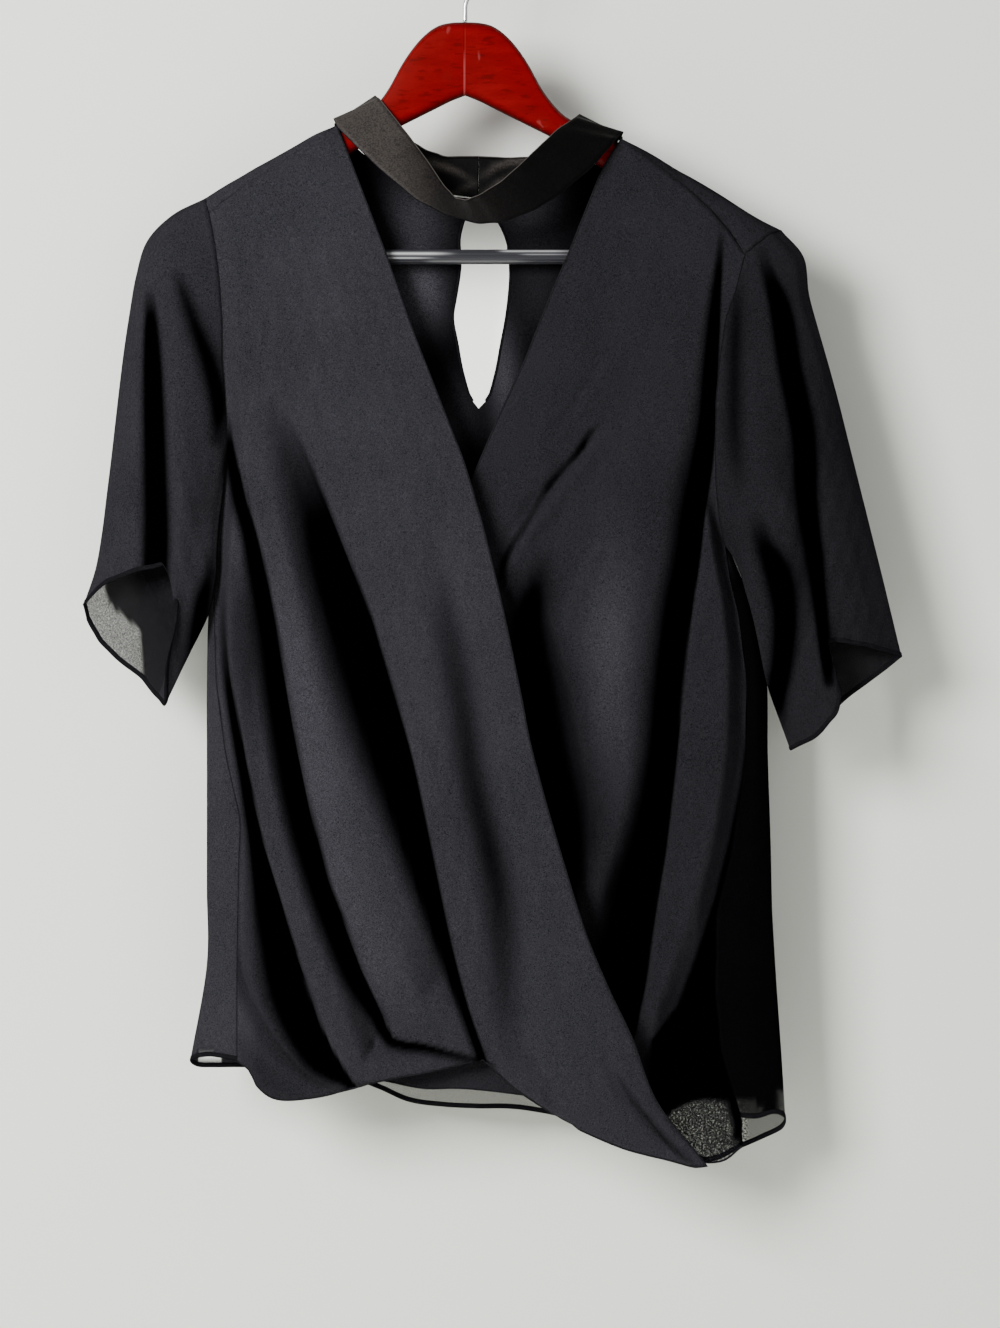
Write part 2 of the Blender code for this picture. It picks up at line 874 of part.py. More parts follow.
def back_path(top, arm_shift, inner):
    """First seven points of a column of the back: from the seam over the shoulder and down."""
    if inner == 1:
        y = np.array([top[1], -6, -2.2, 2.3, 6.3, 9.2, 11.5])
        z = top[2] - np.array([0, -0.2, 0, 0.6, 4, 9, 17])
        return np.stack([np.full(7, top[0]), y, z], axis=1)
    if inner:
        share = np.array([0, 0.15, 0.33, 0.54, 0.72, 0.86, 1.0])
        y = top[1] + (max(12.0, top[1] + 0.3) - top[1]) * share
        z = top[2] - np.array([0, 1, 2, 3.5, 5.5, 9, 16.0])
        x = np.full(7, top[0])
        return np.stack([x, y, z], axis=1)
    x = top[0] + arm_shift
    centre = wood_top(x) - WOOD_HALF + WOOD_LIFT
    start = np.array([top[1], top[2] - centre[0]])
    if start[1] < 0.0:
        turn = np.radians([180, 180, 135, 90, 45, 0])
        radius = np.full(6, WRAP_RADIUS)
    else:
        turn = np.arctan2(start[1], start[0]) * np.linspace(1.0, 0.0, 6)
        radius = np.hypot(*start) + (WRAP_RADIUS - np.hypot(*start)) * np.linspace(0, 1, 6)
    y = np.concatenate([radius * np.cos(turn), [11.0]])
    z = np.concatenate([centre[:6] + radius * np.sin(turn), [centre[6] - 12.0]])
    y[0] = top[1]
    z[0] = top[2]
    return np.stack([x, y, z], axis=1)


def back_half_grid(arm, side, shoulder, neck, hem, key_column):
    """Half of the back: rows from the shoulder and neckline to the hem, columns from the side in."""
    edge = np.concatenate([arm, [row[:3] for row in side[1:]]])
    edge = np.asarray(edge, dtype=float)
    fold = np.concatenate([np.asarray(arm, dtype=float)[:, 0], [row[3] for row in side[1:]]])
    tops = np.concatenate([resample([(x, -9.0, z) for x, z in shoulder], 7), neck[1:]])
    tops[0] = edge[0]
    hem = np.asarray(hem, dtype=float)
    rows = len(edge)
    columns = len(tops)
    key = np.asarray(KEYHOLE, dtype=float)
    mirror = np.sign(edge[0, 0])
    fan = np.array([1.0, 0.65, 0.35, 0.12] + [0.0] * (columns - 4))
    heads = []
    for c in range(columns):
        shift = (edge[:7, 0] - edge[0, 0]) * fan[c]
        heads.append(back_path(tops[c], shift, max(0, c - 5)))
    heads = np.stack(heads, axis=1)
    heads[:, 0] = edge[:7]
    open_x = np.interp(-heads[1:, -1, 2], -key[:, 0], key[:, key_column])
    shares = np.clip((np.arange(columns) - 6) / (columns - 7.0), 0, 1) ** 2
    heads[1:, :, 0] += (open_x - heads[1:, -1, 0])[:, None] * shares
    across = np.linspace(0.0, 1.0, columns)
    fall_side = (edge[6, 2] - edge[6:, 2]) / (edge[6, 2] - edge[-1, 2])
    fall_mid = np.linspace(0.0, 1.0, rows - 6)
    grid = np.zeros((rows, columns, 3))
    grid[:7] = heads
    start_share = (heads[6, :, 0] - edge[6, 0]) / (heads[6, -1, 0] - edge[6, 0])
    for r in range(7, rows):
        k = r - 6
        fall = fall_side[k] + (fall_mid[k] - fall_side[k]) * across
        z = heads[6, :, 2] + (hem[:, 1] - heads[6, :, 2]) * fall
        z[0] = edge[r, 2]
        centre = 9.0
        if z[-1] > key[-1, 0] + 8.0:
            centre = np.interp(-z[-1], -key[:, 0], key[:, key_column])
        elif z[-1] > key[-1, 0] - 12.0:
            z[-1] = key[-1, 0]
        even = start_share + (across - start_share) * smooth(r, 6, 11)
        x_open = edge[r, 0] + (centre - edge[r, 0]) * even
        y_open = BACK_Y + (edge[r, 1] - BACK_Y) * (1 - smooth(across, 0.0, 0.25))
        tip = fold[r]
        inner = np.linspace(tip - mirror * 13.0, centre, columns - 5)
        turn = np.radians([0, 38, 68, 90])
        arc_x = edge[r, 0] + (tip - edge[r, 0]) * np.sin(turn)
        x_shut = np.concatenate([arc_x, [tip - mirror * 2.5], inner])
        y_shut = np.full(columns, BACK_Y)
        y_shut[:4] = 0.5 + (edge[r, 1] - 0.5) * np.cos(turn)
        y_shut[4] = 8.0
        shut = smooth(r, 8, 13)
        x = x_open + (x_shut - x_open) * shut
        y = y_open + (y_shut - y_open) * shut
        grid[r, :, 0] = x
        grid[r, :, 1] = y
        grid[r, :, 2] = z
    last = grid[-1, :, 0].copy()
    share = (np.arange(rows) / (rows - 1.0)) ** 5
    grid[:, :, 0] += (hem[:, 0] - last)[None, :] * share[:, None]
    x = grid[:, :, 0]
    z = grid[:, :, 2]
    inside = smooth(np.minimum(np.abs(x - edge[:, None, 0]), 60.0), 14.0, 34.0)
    for x_top, x_hem, half, height in BACK_FOLDS:
        down = np.clip((-z - 200.0) / 600.0, 0.0, 1.0)
        middle = x_top + (x_hem - x_top) * down
        grid[:, :, 1] += height * np.exp(-(((x - middle) / half) ** 2)) * down * inside
    grid[:, 0] = edge
    return grid


def sleeve_grid(arm_front, arm_back, out_line, in_line, hem_front, hem_back, folds, rings):
    """Rings of a sleeve from its armhole to its hem, outer edge first, then round the front."""
    front = np.concatenate([np.asarray(arm_back[3:0:-1], dtype=float), arm_front])
    back = np.asarray(arm_back[3:], dtype=float)
    front = halve(front)
    back = halve(back)
    outer = resample(out_line, rings)
    inner = resample(in_line, rings)

    def shares(line):
        steps = np.linalg.norm(np.diff(line, axis=0), axis=1)
        along = np.concatenate([[0.0], np.cumsum(steps)])
        return along / along[-1]

    ring_list = []
    for line, hem, facing in ((front, hem_front, -1.0), (back, hem_back, 1.0)):
        a = shares(line)
        table = np.asarray(hem, dtype=float)
        hem_line = np.stack([np.interp(a, table[:, 0], table[:, k]) for k in (1, 2, 3)], axis=1)
        bulge = np.sin(np.pi * a) ** 0.7
        half = []
        for j in range(rings):
            t = j / (rings - 1.0)
            flat = outer[j] + (inner[j] - outer[j]) * a[:, None]
            flat[:, 1] += facing * (10.0 + 4.0 * np.sin(np.pi * t)) * bulge
            for at_top, at_hem, width, height in folds:
                middle = at_top + (at_hem - at_top) * t
                lump = height * np.exp(-(((a - middle) / width) ** 2)) * np.sin(np.pi * a) ** 0.5
                flat[:, 1] += facing * lump * smooth(t, 0.1, 0.6)
            half.append(flat)
        half = np.stack(half)
        t = np.linspace(0.0, 1.0, rings)[:, None, None]
        half = half + (line - half[0])[None] * (1.0 - t) ** 2 + (hem_line - half[-1])[None] * t**4
        half[0] = line
        ring_list.append(half)
    front_half, back_half = ring_list
    return np.concatenate([front_half, back_half[:, -2:0:-1]], axis=1)


def band_grid():
    """Neck band: two rows of points, bottom and top, from slit to slit round the neck."""
    right = [tuple(n) + tuple(t) for n, t in zip(NECK_R[:0:-1], BAND_BACK_TOP_R)]
    left = [tuple(n) + tuple(t) for n, t in zip(NECK_L[:0:-1], BAND_BACK_TOP_L)]
    ring = np.asarray(right + list(BAND_FRONT) + left[::-1], dtype=float)
    bottom = ring[:, :3].copy()
    top = ring[:, 3:]
    lift = top - bottom
    bottom += 2.0 * SEAM_INSET * lift / np.linalg.norm(lift, axis=1, keepdims=True)
    rows = [bottom + (top - bottom) * k / 3.0 for k in range(4)]
    grid = np.stack(rows)
    finer = [halve(row) for row in grid]
    return np.stack(finer)


def wood_solid(made_of):
    """The hanger's wood: upright slices with rounded top and underside, end to end."""
    table = np.asarray(WOOD, dtype=float)
    right = halve(table)
    slices = np.concatenate([right[:0:-1] * [-1, 1, 1], right])
    turn = np.radians(np.linspace(0, 180, 9))
    points = []
    for x, top, under in slices:
        half = WOOD_HALF * (1.0 if abs(x) < 195 else np.sqrt(max(0.05, 1 - ((abs(x) - 195) / 5.6) ** 2)))
        round_by = min(half, 0.45 * (top - under))
        for angle in turn:
            points.append((x, -half * np.cos(angle), top - round_by + round_by * np.sin(angle)))
        for angle in turn:
            points.append((x, half * np.cos(angle), under + round_by - round_by * np.sin(angle)))
    ring = 2 * len(turn)
    faces = grid_faces(len(slices), ring, closed=True)
    faces.append(tuple(range(ring)))
    faces.append(tuple(reversed(range(ring * (len(slices) - 1), ring * len(slices)))))
    return add_solid("hanger_wood", points, faces, made_of)


def rod(name, line, radius, sides, made_of):
    """A round wire along a line of points, with flat ends."""
    line = np.asarray(line, dtype=float)
    ahead = np.gradient(line, axis=0)
    ahead /= np.linalg.norm(ahead, axis=1, keepdims=True)
    across = np.cross(ahead, [0.0, 1.0, 0.0])
    across /= np.linalg.norm(across, axis=1, keepdims=True)
    third = np.cross(ahead, across)
    turn = np.linspace(0, 2 * np.pi, sides, endpoint=False)
    ring = (
        line[:, None]
        + radius * np.cos(turn)[None, :, None] * across[:, None]
        + radius * np.sin(turn)[None, :, None] * third[:, None]
    )
    faces = grid_faces(len(line), sides, closed=True)
    faces.append(tuple(range(sides)))
    faces.append(tuple(reversed(range(sides * (len(line) - 1), sides * len(line)))))
    return add_solid(name, ring.reshape(-1, 3), faces, made_of)


def turned(name, profile, centre, sides, made_of):
    """A round piece about the Y axis from a profile of radius and y, closed at both ends."""
    turn = np.linspace(0, 2 * np.pi, sides, endpoint=False)
    points = []
    for radius, y in profile:
        for angle in turn:
            points.append((centre[0] + radius * np.cos(angle), centre[1] + y,
                           centre[2] + radius * np.sin(angle)))
    faces = grid_faces(len(profile), sides, closed=True)
    faces.append(tuple(range(sides)))
    faces.append(tuple(reversed(range(sides * (len(profile) - 1), sides * len(profile)))))
    return add_solid(name, points, faces, made_of)


def cut_bar_holes(wood, made_of):
    """Bore the wood for the bar's ends, with a little clearance."""
    line = [(-BORE_HALF_LENGTH, 0, BAR_Z), (BORE_HALF_LENGTH, 0, BAR_Z)]
    cutter = rod("cut_bar_bore", line, BAR_RADIUS + BORE_CLEARANCE, 20, made_of)
    cutter.hide_render = True
    cutter.display_type = "WIRE"
    bore = wood.modifiers.new("bar bore", "BOOLEAN")
    bore.operation = "DIFFERENCE"
    bore.solver = "EXACT"
    bore.object = cutter


def build():
    clear_scene()
    chiffon = material("chiffon", CLOTH_COLOUR, 0.85)
    chiffon_back = material("chiffon_back", CLOTH_COLOUR, 0.85)
    chiffon_sleeve_r = material("chiffon_sleeve_right", CLOTH_COLOUR, 0.85)
    chiffon_sleeve_l = material("chiffon_sleeve_left", CLOTH_COLOUR, 0.85)
    chiffon_under = material("chiffon_under", CLOTH_COLOUR, 0.85)
    band_cloth = material("band_cloth", BAND_COLOUR, 0.7)
    red_wood = material("red_wood", WOOD_COLOUR, 0.35)
    dark_bar = material("ribbed_bar", BAR_COLOUR, 0.45)
    steel = material("steel", STEEL_COLOUR, 0.25, 1.0)
    button_cloth = material("button", BAND_COLOUR, 0.4)
    loop_thread = material("loop_thread", BAND_COLOUR, 0.7)

    over = inset(over_panel_grid(LIP), SEAM_INSET)
    sheet_solid("front_right_over", over.reshape(-1, 3), grid_faces(*over.shape[:2]),
                CLOTH_WALL, chiffon)
    under = inset(under_panel_grid(LIP), SEAM_INSET)
    sheet_solid("front_left_under", under.reshape(-1, 3), grid_faces(*under.shape[:2]),
                CLOTH_WALL, chiffon_under)

    halves = [
        back_half_grid(ARM_BACK_R, SIDE_R, SHOULDER_R, NECK_R, HEM_BACK_R, 1),
        back_half_grid(ARM_BACK_L, SIDE_L, SHOULDER_L, NECK_L, HEM_BACK_L, 2),
    ]
    rows, columns = halves[0].shape[:2]
    joined = np.concatenate([halves[0], halves[1][:, ::-1]], axis=1)
    joined = inset(joined, SEAM_INSET)
    joined[0] += 0.4 * square_to(joined[0], joined[1])
    meet = np.linalg.norm(joined[:, columns - 1] - joined[:, columns], axis=1) < 0.01
    faces = []
    for face in grid_faces(rows, 2 * columns):
        if face[0] % (2 * columns) == columns - 1:
            continue
        moved = []
        for v in face:
            r, c = divmod(v, 2 * columns)
            moved.append(v - 1 if c == columns and meet[r] else v)
        faces.append(tuple(moved))
    used = sorted({v for face in faces for v in face})
    number = {v: k for k, v in enumerate(used)}
    faces = [tuple(number[v] for v in face) for face in faces]
    sheet_solid("back", joined.reshape(-1, 3)[used], faces, CLOTH_WALL, chiffon_back)

    for name, parts, made_of in (
        ("sleeve_right", (ARM_FRONT_R, ARM_BACK_R, SLEEVE_OUT_R, SLEEVE_IN_R,
                          SLEEVE_HEM_FRONT_R, SLEEVE_HEM_BACK_R, SLEEVE_FOLDS_R),
         chiffon_sleeve_r),
        ("sleeve_left", (ARM_FRONT_L, ARM_BACK_L, SLEEVE_OUT_L, SLEEVE_IN_L,
                         SLEEVE_HEM_FRONT_L, SLEEVE_HEM_BACK_L, SLEEVE_FOLDS_L),
         chiffon_sleeve_l),
    ):
        rings = sleeve_grid(*parts, 13)
        rings[0] += (SEAM_INSET + 0.2) * square_to(rings[0], rings[1])
        sheet_solid(name, rings.reshape(-1, 3),
                    grid_faces(rings.shape[0], rings.shape[1], closed=True), CLOTH_WALL, made_of)

    band = band_grid()
    sheet_solid("neck_band", band.reshape(-1, 3), grid_faces(*band.shape[:2]), CLOTH_WALL,
                band_cloth)

    for word, z in (("top", BUTTON_TOP_Z), ("low", BUTTON_LOW_Z)):
        turned("neck_button_" + word, BUTTON_PROFILE, (BUTTON_X, 0.0, z), 16, button_cloth)
        line = [(x, LOOP_Y, z + across) for x, across in LOOP_LINE]
        rod("button_loop_" + word, line, LOOP_WIRE_RADIUS, 8, loop_thread)

    wood = wood_solid(red_wood)
    cut_bar_holes(wood, red_wood)
    rod("hanger_bar", [(-BAR_HALF_LENGTH, 0, BAR_Z), (0, 0, BAR_Z), (BAR_HALF_LENGTH, 0, BAR_Z)],
        BAR_RADIUS, 24, dark_bar)
    rod("hanger_hook", [(x, 0, z) for x, z in HOOK_LINE], HOOK_WIRE_RADIUS, 12, steel)


build()
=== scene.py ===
import bpy
import numpy as np
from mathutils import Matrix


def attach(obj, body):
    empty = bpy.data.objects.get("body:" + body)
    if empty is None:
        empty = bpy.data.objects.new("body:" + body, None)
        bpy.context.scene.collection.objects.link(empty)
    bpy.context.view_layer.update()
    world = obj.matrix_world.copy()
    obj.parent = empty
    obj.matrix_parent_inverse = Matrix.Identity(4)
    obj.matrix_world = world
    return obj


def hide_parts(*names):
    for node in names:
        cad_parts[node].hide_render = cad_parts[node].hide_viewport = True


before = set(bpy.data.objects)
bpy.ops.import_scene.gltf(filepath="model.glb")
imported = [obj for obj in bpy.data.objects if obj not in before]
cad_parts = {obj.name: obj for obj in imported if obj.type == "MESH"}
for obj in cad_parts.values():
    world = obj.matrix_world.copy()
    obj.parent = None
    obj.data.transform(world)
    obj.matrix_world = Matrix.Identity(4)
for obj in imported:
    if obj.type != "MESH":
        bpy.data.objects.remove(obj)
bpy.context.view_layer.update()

bl_info = {
    "name": "V-neck blouse on its hanger",
    "version": (1, 0, 0),
    "blender": (4, 5, 0),
    "location": "View3D > Sidebar > Blouse",
    "description": "Builds a crossed, draped v-neck blouse of sheer crepe on a wooden hanger",
    "category": "Object",
}

MM = 0.001
# the lightest speck of cloth, in times the cloth's usual colour
HEADROOM = 5.0
# colours of the buttons and loops, and of bright metal, also used for the bar's painted highlights
CLOTH_BLACK = (0.02, 0.02, 0.022, 1.0)
BRIGHT_METAL_AND_HIGHLIGHT = (0.62, 0.62, 0.63, 1.0)

# the stage, in metres: the floor, the point the lights aim at, the camera's distance, and the
# height of its frame at the depth of the cloth's front; the camera's sensor is in millimetres
FLOOR_Z = -1.35
MIDDLE = (0.02, 0.0, -0.5)
CAMERA_FAR = 2.6
FRAME_DEPTH = 0.015
FRAME_HEIGHT = 0.890
SENSOR = 36.0

# from here on, sizes are in millimetres
SEAM_INSET = 0.5
# width over which a fold's edge rises in the coarse grids
LIP = 4.0
WOOD_HALF = 6.5
# gap between the wood and the cloth over it, and the radius at which the back goes round the arms
WOOD_LIFT = 0.4
WRAP_RADIUS = 9.2
BAR_RADIUS = 5.0
BAR_HALF_LENGTH = 172.0
BAR_Z = -218.7
HOOK_WIRE_RADIUS = 1.7
LOOP_WIRE_RADIUS = 0.7
LOOP_Y = 16.75
BUTTON_X = 13.0
BUTTON_TOP_Z = -153.5
BUTTON_LOW_Z = -172.5
# depth at which the back, both fronts and the shoulder seams hang
BACK_Y = 13.0
OVER_Y = -20.0
UNDER_Y = -13.0
SHOULDER_Y = -9.0
# middle of the keyhole and of the band's slit
KEYHOLE_X = 9.0
# rows of a front's coarse grid beside its armhole, and the height of the faint waves in it
ARMHOLE_ROWS = 22
WAVE_HEIGHT = 0.35

# top and underside of the hanger's wood: x, top z, under z
WOOD = (
    (0, -60.5, -110), (10, -61, -114), (18, -63, -118), (30, -72, -124), (42, -88, -130),
    (52, -106, -135), (64, -121, -141), (84, -132, -154), (104, -142, -166), (143, -163, -192),
    (160, -173, -216), (175, -182, -228), (188, -190, -231), (196, -196, -228), (200, -204, -220),
)

# armhole of the right sleeve, shoulder point to underarm, on the front: x, y, z
ARM_FRONT_R = (
    (-172, -9, -190), (-168, -10.5, -211), (-165, -11.5, -234), (-163, -12, -262),
    (-162.5, -12, -289), (-161, -12, -309), (-160, -11, -327), (-160, -9, -345), (-161, -6, -361),
)
# the same armhole over the shoulder and down the back: x, y, z
ARM_BACK_R = (
    (-172, -9, -190), (-173, -8.9, -187), (-174, -6.3, -182), (-175, 0, -179.3),
    (-174.5, 6.3, -182), (-174, 8.9, -188), (-172, 11, -200), (-169, 13, -225), (-167, 14, -255),
    (-166, 14, -290), (-165, 12, -320), (-163, 5, -346), (-161, -6, -361),
)
# both lines of the left armhole
ARM_FRONT_L = (
    (188, -10, -218), (182, -11, -241), (175, -12, -262), (171, -12, -289), (168.5, -12, -316),
    (168, -12, -345), (168.5, -11, -372), (171, -9, -396), (175, -6, -413),
)
ARM_BACK_L = (
    (188, -10, -218), (195, -10, -212), (205, -7, -204), (213, 0, -201), (213, 7, -204),
    (211, 10, -212), (207, 12, -225), (201, 13, -250), (195, 14, -280), (189, 14, -315),
    (184, 12, -350), (179, 4, -390), (175, -6, -413),
)
# side seams below the underarm, with the outermost x of the body's fold: x, y, z, fold x
SIDE_R = (
    (-161, -6, -361, -162), (-163.5, -8.5, -386, -166.5), (-166, -9, -412, -170),
    (-168.5, -9, -457, -173), (-167, -10, -504, -174), (-161, -11, -551, -174),
    (-151, -12, -598, -174), (-152, -12, -638, -174), (-153, -12, -690, -174),
    (-153, -12, -759, -185),
)
SIDE_L = (
    (175, -6, -413, 176), (178, -9, -435, 182), (184, -11, -462, 194.5), (189, -12, -504, 203),
    (188, -12, -557, 204), (179, -12, -618, 206), (169, -12, -661, 207), (168, -12, -712, 210),
    (172, -12, -752, 213), (185, -12, -797, 216),
)
SIDE_L_VENT = (186, -12, -816)

# shoulder seams, armhole to neck: x, z
SHOULDER_R = ((-172, -190), (-146, -170.5), (-86, -131))
SHOULDER_L = ((188, -218), (171, -194), (147, -171), (105, -140))

# back neckline from the neck point to the slit: x, y, z
NECK_R = (
    (-86, -9, -131), (-88, -2, -129), (-87, 4, -130), (-82, 9, -136), (-66, 12, -150),
    (-45, 14, -164), (-20, 15, -174), (7.5, 15, -178),
)
NECK_L = (
    (105, -9, -140), (106, -2, -138), (104.5, 4, -139.5), (98.5, 9, -146.5), (81, 12, -159.5),
    (60, 13.5, -168), (34, 14.5, -175), (10.5, 15, -178),
)
# keyhole of the back: z, left edge x, right edge x
KEYHOLE = (
    (-178, 7.5, 10.5), (-190, 0.5, 20), (-201, -3, 26), (-224, -3, 30), (-245, -6, 29),
    (-257, -8, 27.5), (-276, -5, 24), (-301, 0, 19), (-314, 4.5, 14.5), (-320, 9, 9),
)
# back hem, side to centre, one row a column of the half: x, z
HEM_BACK_R = (
    (-153, -759), (-163, -757.5), (-174, -757), (-185, -760), (-181, -765), (-170, -766),
    (-150, -766), (-128, -768), (-105, -771), (-78, -775), (-58, -781), (-38, -790), (-14, -793),
    (9, -794),
)
HEM_BACK_L = (
    (185, -802), (196, -798), (208, -795.5), (215.5, -799), (214, -807), (202, -814), (186, -821),
    (165, -830), (138, -823), (106, -808), (80, -803), (55, -798), (32, -795), (9, -794),
)
# soft folds of the back: x at the yoke, x at the hem, half width, height
BACK_FOLDS = (
    (-120, -128, 15, 6), (-62, -84, 18, 8), (-8, -30, 15, 6), (48, 40, 19, 9), (100, 112, 17, 7),
    (150, 168, 13, 5),
)

# lines down the over panel: z, side seam, fold 1, fold 2, strip, soft trough, free edge
OVER_LINES = (
    (-361, -161, -153, -146, -103, -40, 1), (-410, -166, -158, -137, -82, -23, 15),
    (-457, -168, -161, -128, -64, -12, 26), (-504, -167, -157, -119, -50, -3, 36),
    (-551, -161, -149, -111, -36, 5, 45), (-598, -151, -138, -101, -26, 13, 58),
    (-638, -152, -125, -91, -18, 22, 70), (-671, -153, -115, -78, -11, 25, 80),
    (-705, -153, -103, -65, -3, 28, 94), (-728, -153, -96, -54, 4, 34, 105),
    (-743, -153, -90, -49, 9, 40, 112), (-760, -153, -80, -46, 15, 50, 119),
    (-776, -153, -75, -42, 22, 61, 125), (-792, -153, -75, -40, 34, 72, 131),
    (-812, -153, -75, -40, 45, 84, 142), (-829, -153, -75, -40, 56, 94, 163),
)
# free edge of the over panel above the crossing: z, x
OVER_EDGE = (
    (-131, -86), (-156, -76), (-214, -54), (-271, -34), (-361, 1),
)
# lower edge of the over panel: x, z
OVER_HEM = (
    (-153, -760), (-144, -766), (-138, -777), (-124, -785), (-97, -783), (-75, -777), (-54, -771),
    (-22, -765), (9, -758), (15, -759), (34, -776), (56, -791), (68, -799), (104, -815),
    (136, -823.5), (153, -828), (161, -827),
)
# lines down the under panel: z, free edge, centre, ridge 5 right, fold 6 left, fold 6 right, seam
UNDER_LINES = (
    (-218, 69, 110, 160, 172, 181, 188), (-241, 59, 106, 158, 168, 175, 182),
    (-289, 40, 95, 152, 162, 167, 171), (-330, 21, 86, 150, 159, 164, 168),
    (-372, 3, 72, 143, 158, 163, 168.5), (-413, -6, 66, 142, 157, 168, 175),
    (-462, -17, 72, 127, 151, 180, 187), (-504, -25, 76, 121, 146, 184, 190),
    (-557, -35, 80, 117, 141, 183, 188), (-618, -47, 84, 102, 134, 173, 179),
    (-661, -57, 60, 79, 127, 158, 169), (-712, -69, 40, 62, 119, 142, 168),
    (-752, -77, 30, 54, 110, 128, 172), (-797, -82, 20, 50, 100, 130, 185),
    (-830, -84, 16, 48, 98, 130, 186),
)
# free edge of the under panel above the crossing: z, x
UNDER_EDGE = (
    (-140, 105), (-160, 92), (-214, 70),
)
# lower edge of the under panel: x, z
UNDER_HEM = (
    (-84, -768), (-54, -773), (-28, -778), (-3, -778), (28, -781), (50, -785), (84, -797),
    (117, -812), (151, -826), (172, -827), (186, -817),
)

# draped folds of the over panel: the line of the fold's leading edge x, z, with its
# height and the width of its crown at that point
SWAG_0 = (
    (-149, -602, 0, 12), (-152, -640, 5, 12), (-147, -690, 9, 14), (-138, -718, 10, 16),
    (-125, -743, 10, 16), (-97, -772, 8, 14), (-76, -777, 5, 12),
)
SWAG_1 = (
    (-153, -343, 0, 8), (-156, -384, 5, 12), (-160.5, -437, 9, 16), (-158, -487, 12, 17),
    (-149, -530, 14, 17), (-142, -574, 15, 17), (-134, -609, 15, 17), (-122, -649, 15, 17),
    (-113, -681, 15, 18), (-100, -712, 14, 18), (-90, -743, 13, 18), (-75, -771, 12, 16),
    (-54, -771, 11, 14), (-22, -765, 10, 12), (9, -757, 8, 10),
)
SWAG_2 = (
    (-152, -315, 0, 12), (-148, -343, 2, 16), (-143, -375, 5, 18), (-133, -427, 9, 20),
    (-124, -478, 12, 24), (-115, -531, 14, 32), (-107, -568, 15, 38), (-100, -602, 15, 46),
    (-91, -637, 15, 52), (-78, -671, 15, 50), (-66, -703, 14, 40), (-54, -728, 13, 34),
    (-48, -742, 13, 34), (-28, -746, 13, 34), (-9, -752, 13, 34), (15, -757, 12.5, 34),
)
STRIP = (
    (-130, -300, 0, 60), (-110, -343, 4, 60), (-94, -381, 9, 60), (-82, -412, 12, 60),
    (-66, -452, 15, 60), (-54, -493, 17, 60), (-38, -543, 18, 60), (-25, -600, 18, 60),
    (-11, -668, 18, 60), (-3, -703, 18, 60), (5, -731, 17, 60), (15, -759, 15, 60),
    (34, -776, 10, 60), (60, -793, 6, 60),
)
# soft trough down the strip: x, z, depth, half width
STRIP_TROUGH = (
    (-20, -380, 0, 12), (-12, -457, 3, 12), (-3, -504, 5, 11), (6, -551, 6, 10), (15, -598, 6, 10),
    (24, -638, 6, 10), (27, -671, 5, 10), (34, -728, 4, 10), (60, -780, 2, 10),
)
# folds of the under panel: line x, z, height, crown width
UNDER_RIDGE_5 = (
    (20, -380, 0, 90), (44, -420, 6, 84), (58, -460, 10, 66), (67, -494, 12, 54),
    (80, -551, 13, 40), (84, -600, 13, 26), (80, -645, 11, 12), (74, -668, 6, 6),
)
UNDER_RIDGE_6 = (
    (160, -370, 0, 8), (157, -410, 6, 14), (151, -460, 12, 28), (145, -511, 14, 38),
    (141, -561, 15, 40), (135, -611, 14, 36), (127, -661, 13, 28), (122, -698, 12, 18),
    (114, -742, 9, 8), (112, -752, 3, 5),
)
# trough beside the left armhole: x, z, depth, half width
UNDER_TROUGH = (
    (173, -225, 0, 6), (167, -276, 3, 7), (158, -330, 4, 8), (150, -380, 5, 10), (148, -430, 4, 10),
    (140, -470, 0, 10),
)

# neck band: bottom x, y, z, top x, y, z, along the free front from the wearer's right
BAND_FRONT = (
    (-89, -6, -127, -57, -7.8, -114), (-86, -14, -133.5, -47, -11.5, -127),
    (-75, -17.5, -145, -37, -15.5, -140), (-57, -24, -163, -25, -22, -157),
    (-33, -31, -184, -14, -29, -174), (-13, -35, -195, -6, -33, -183),
    (9, -37, -201, 1, -35, -184.5), (26, -37, -200, 10, -35, -181), (46, -34, -192, 24, -32, -172),
    (62, -30, -182, 36, -28, -161), (86, -22, -161, 50, -22, -147),
    (101, -15, -143, 62, -14.5, -135), (107, -6.5, -136, 73.5, -7.8, -126.5),
)
# top edge of the band above each point of the back neckline, neck point last: x, y, z
BAND_BACK_TOP_R = (
    (8, 15, -149), (-13, 15.5, -149), (-26, 14.5, -145), (-38, 12.5, -138), (-49, 9.5, -127),
    (-56, 7.8, -115), (-60.5, -1, -110.5),
)
BAND_BACK_TOP_L = (
    (10, 15, -149), (30, 15, -150), (44, 14, -149.5), (54, 12.5, -147), (66, 9.5, -137),
    (73, 7.8, -127), (77, -1, -123),
)

# right sleeve: outer edge and inner edge from the armhole to the hem: x, y, z
SLEEVE_OUT_R = (
    (-175, 0, -179.3), (-202, 0, -193), (-215, 0, -209), (-223, 0, -236), (-231, 0, -289),
    (-239, 0, -359), (-247, 0, -423), (-257, 0, -453),
)
SLEEVE_IN_R = (
    (-161, -6, -361), (-162.5, -11, -377), (-166, -15, -408), (-166.5, -16.5, -436),
    (-172, -14.5, -461), (-188, -9, -492), (-202, -5, -521),
)
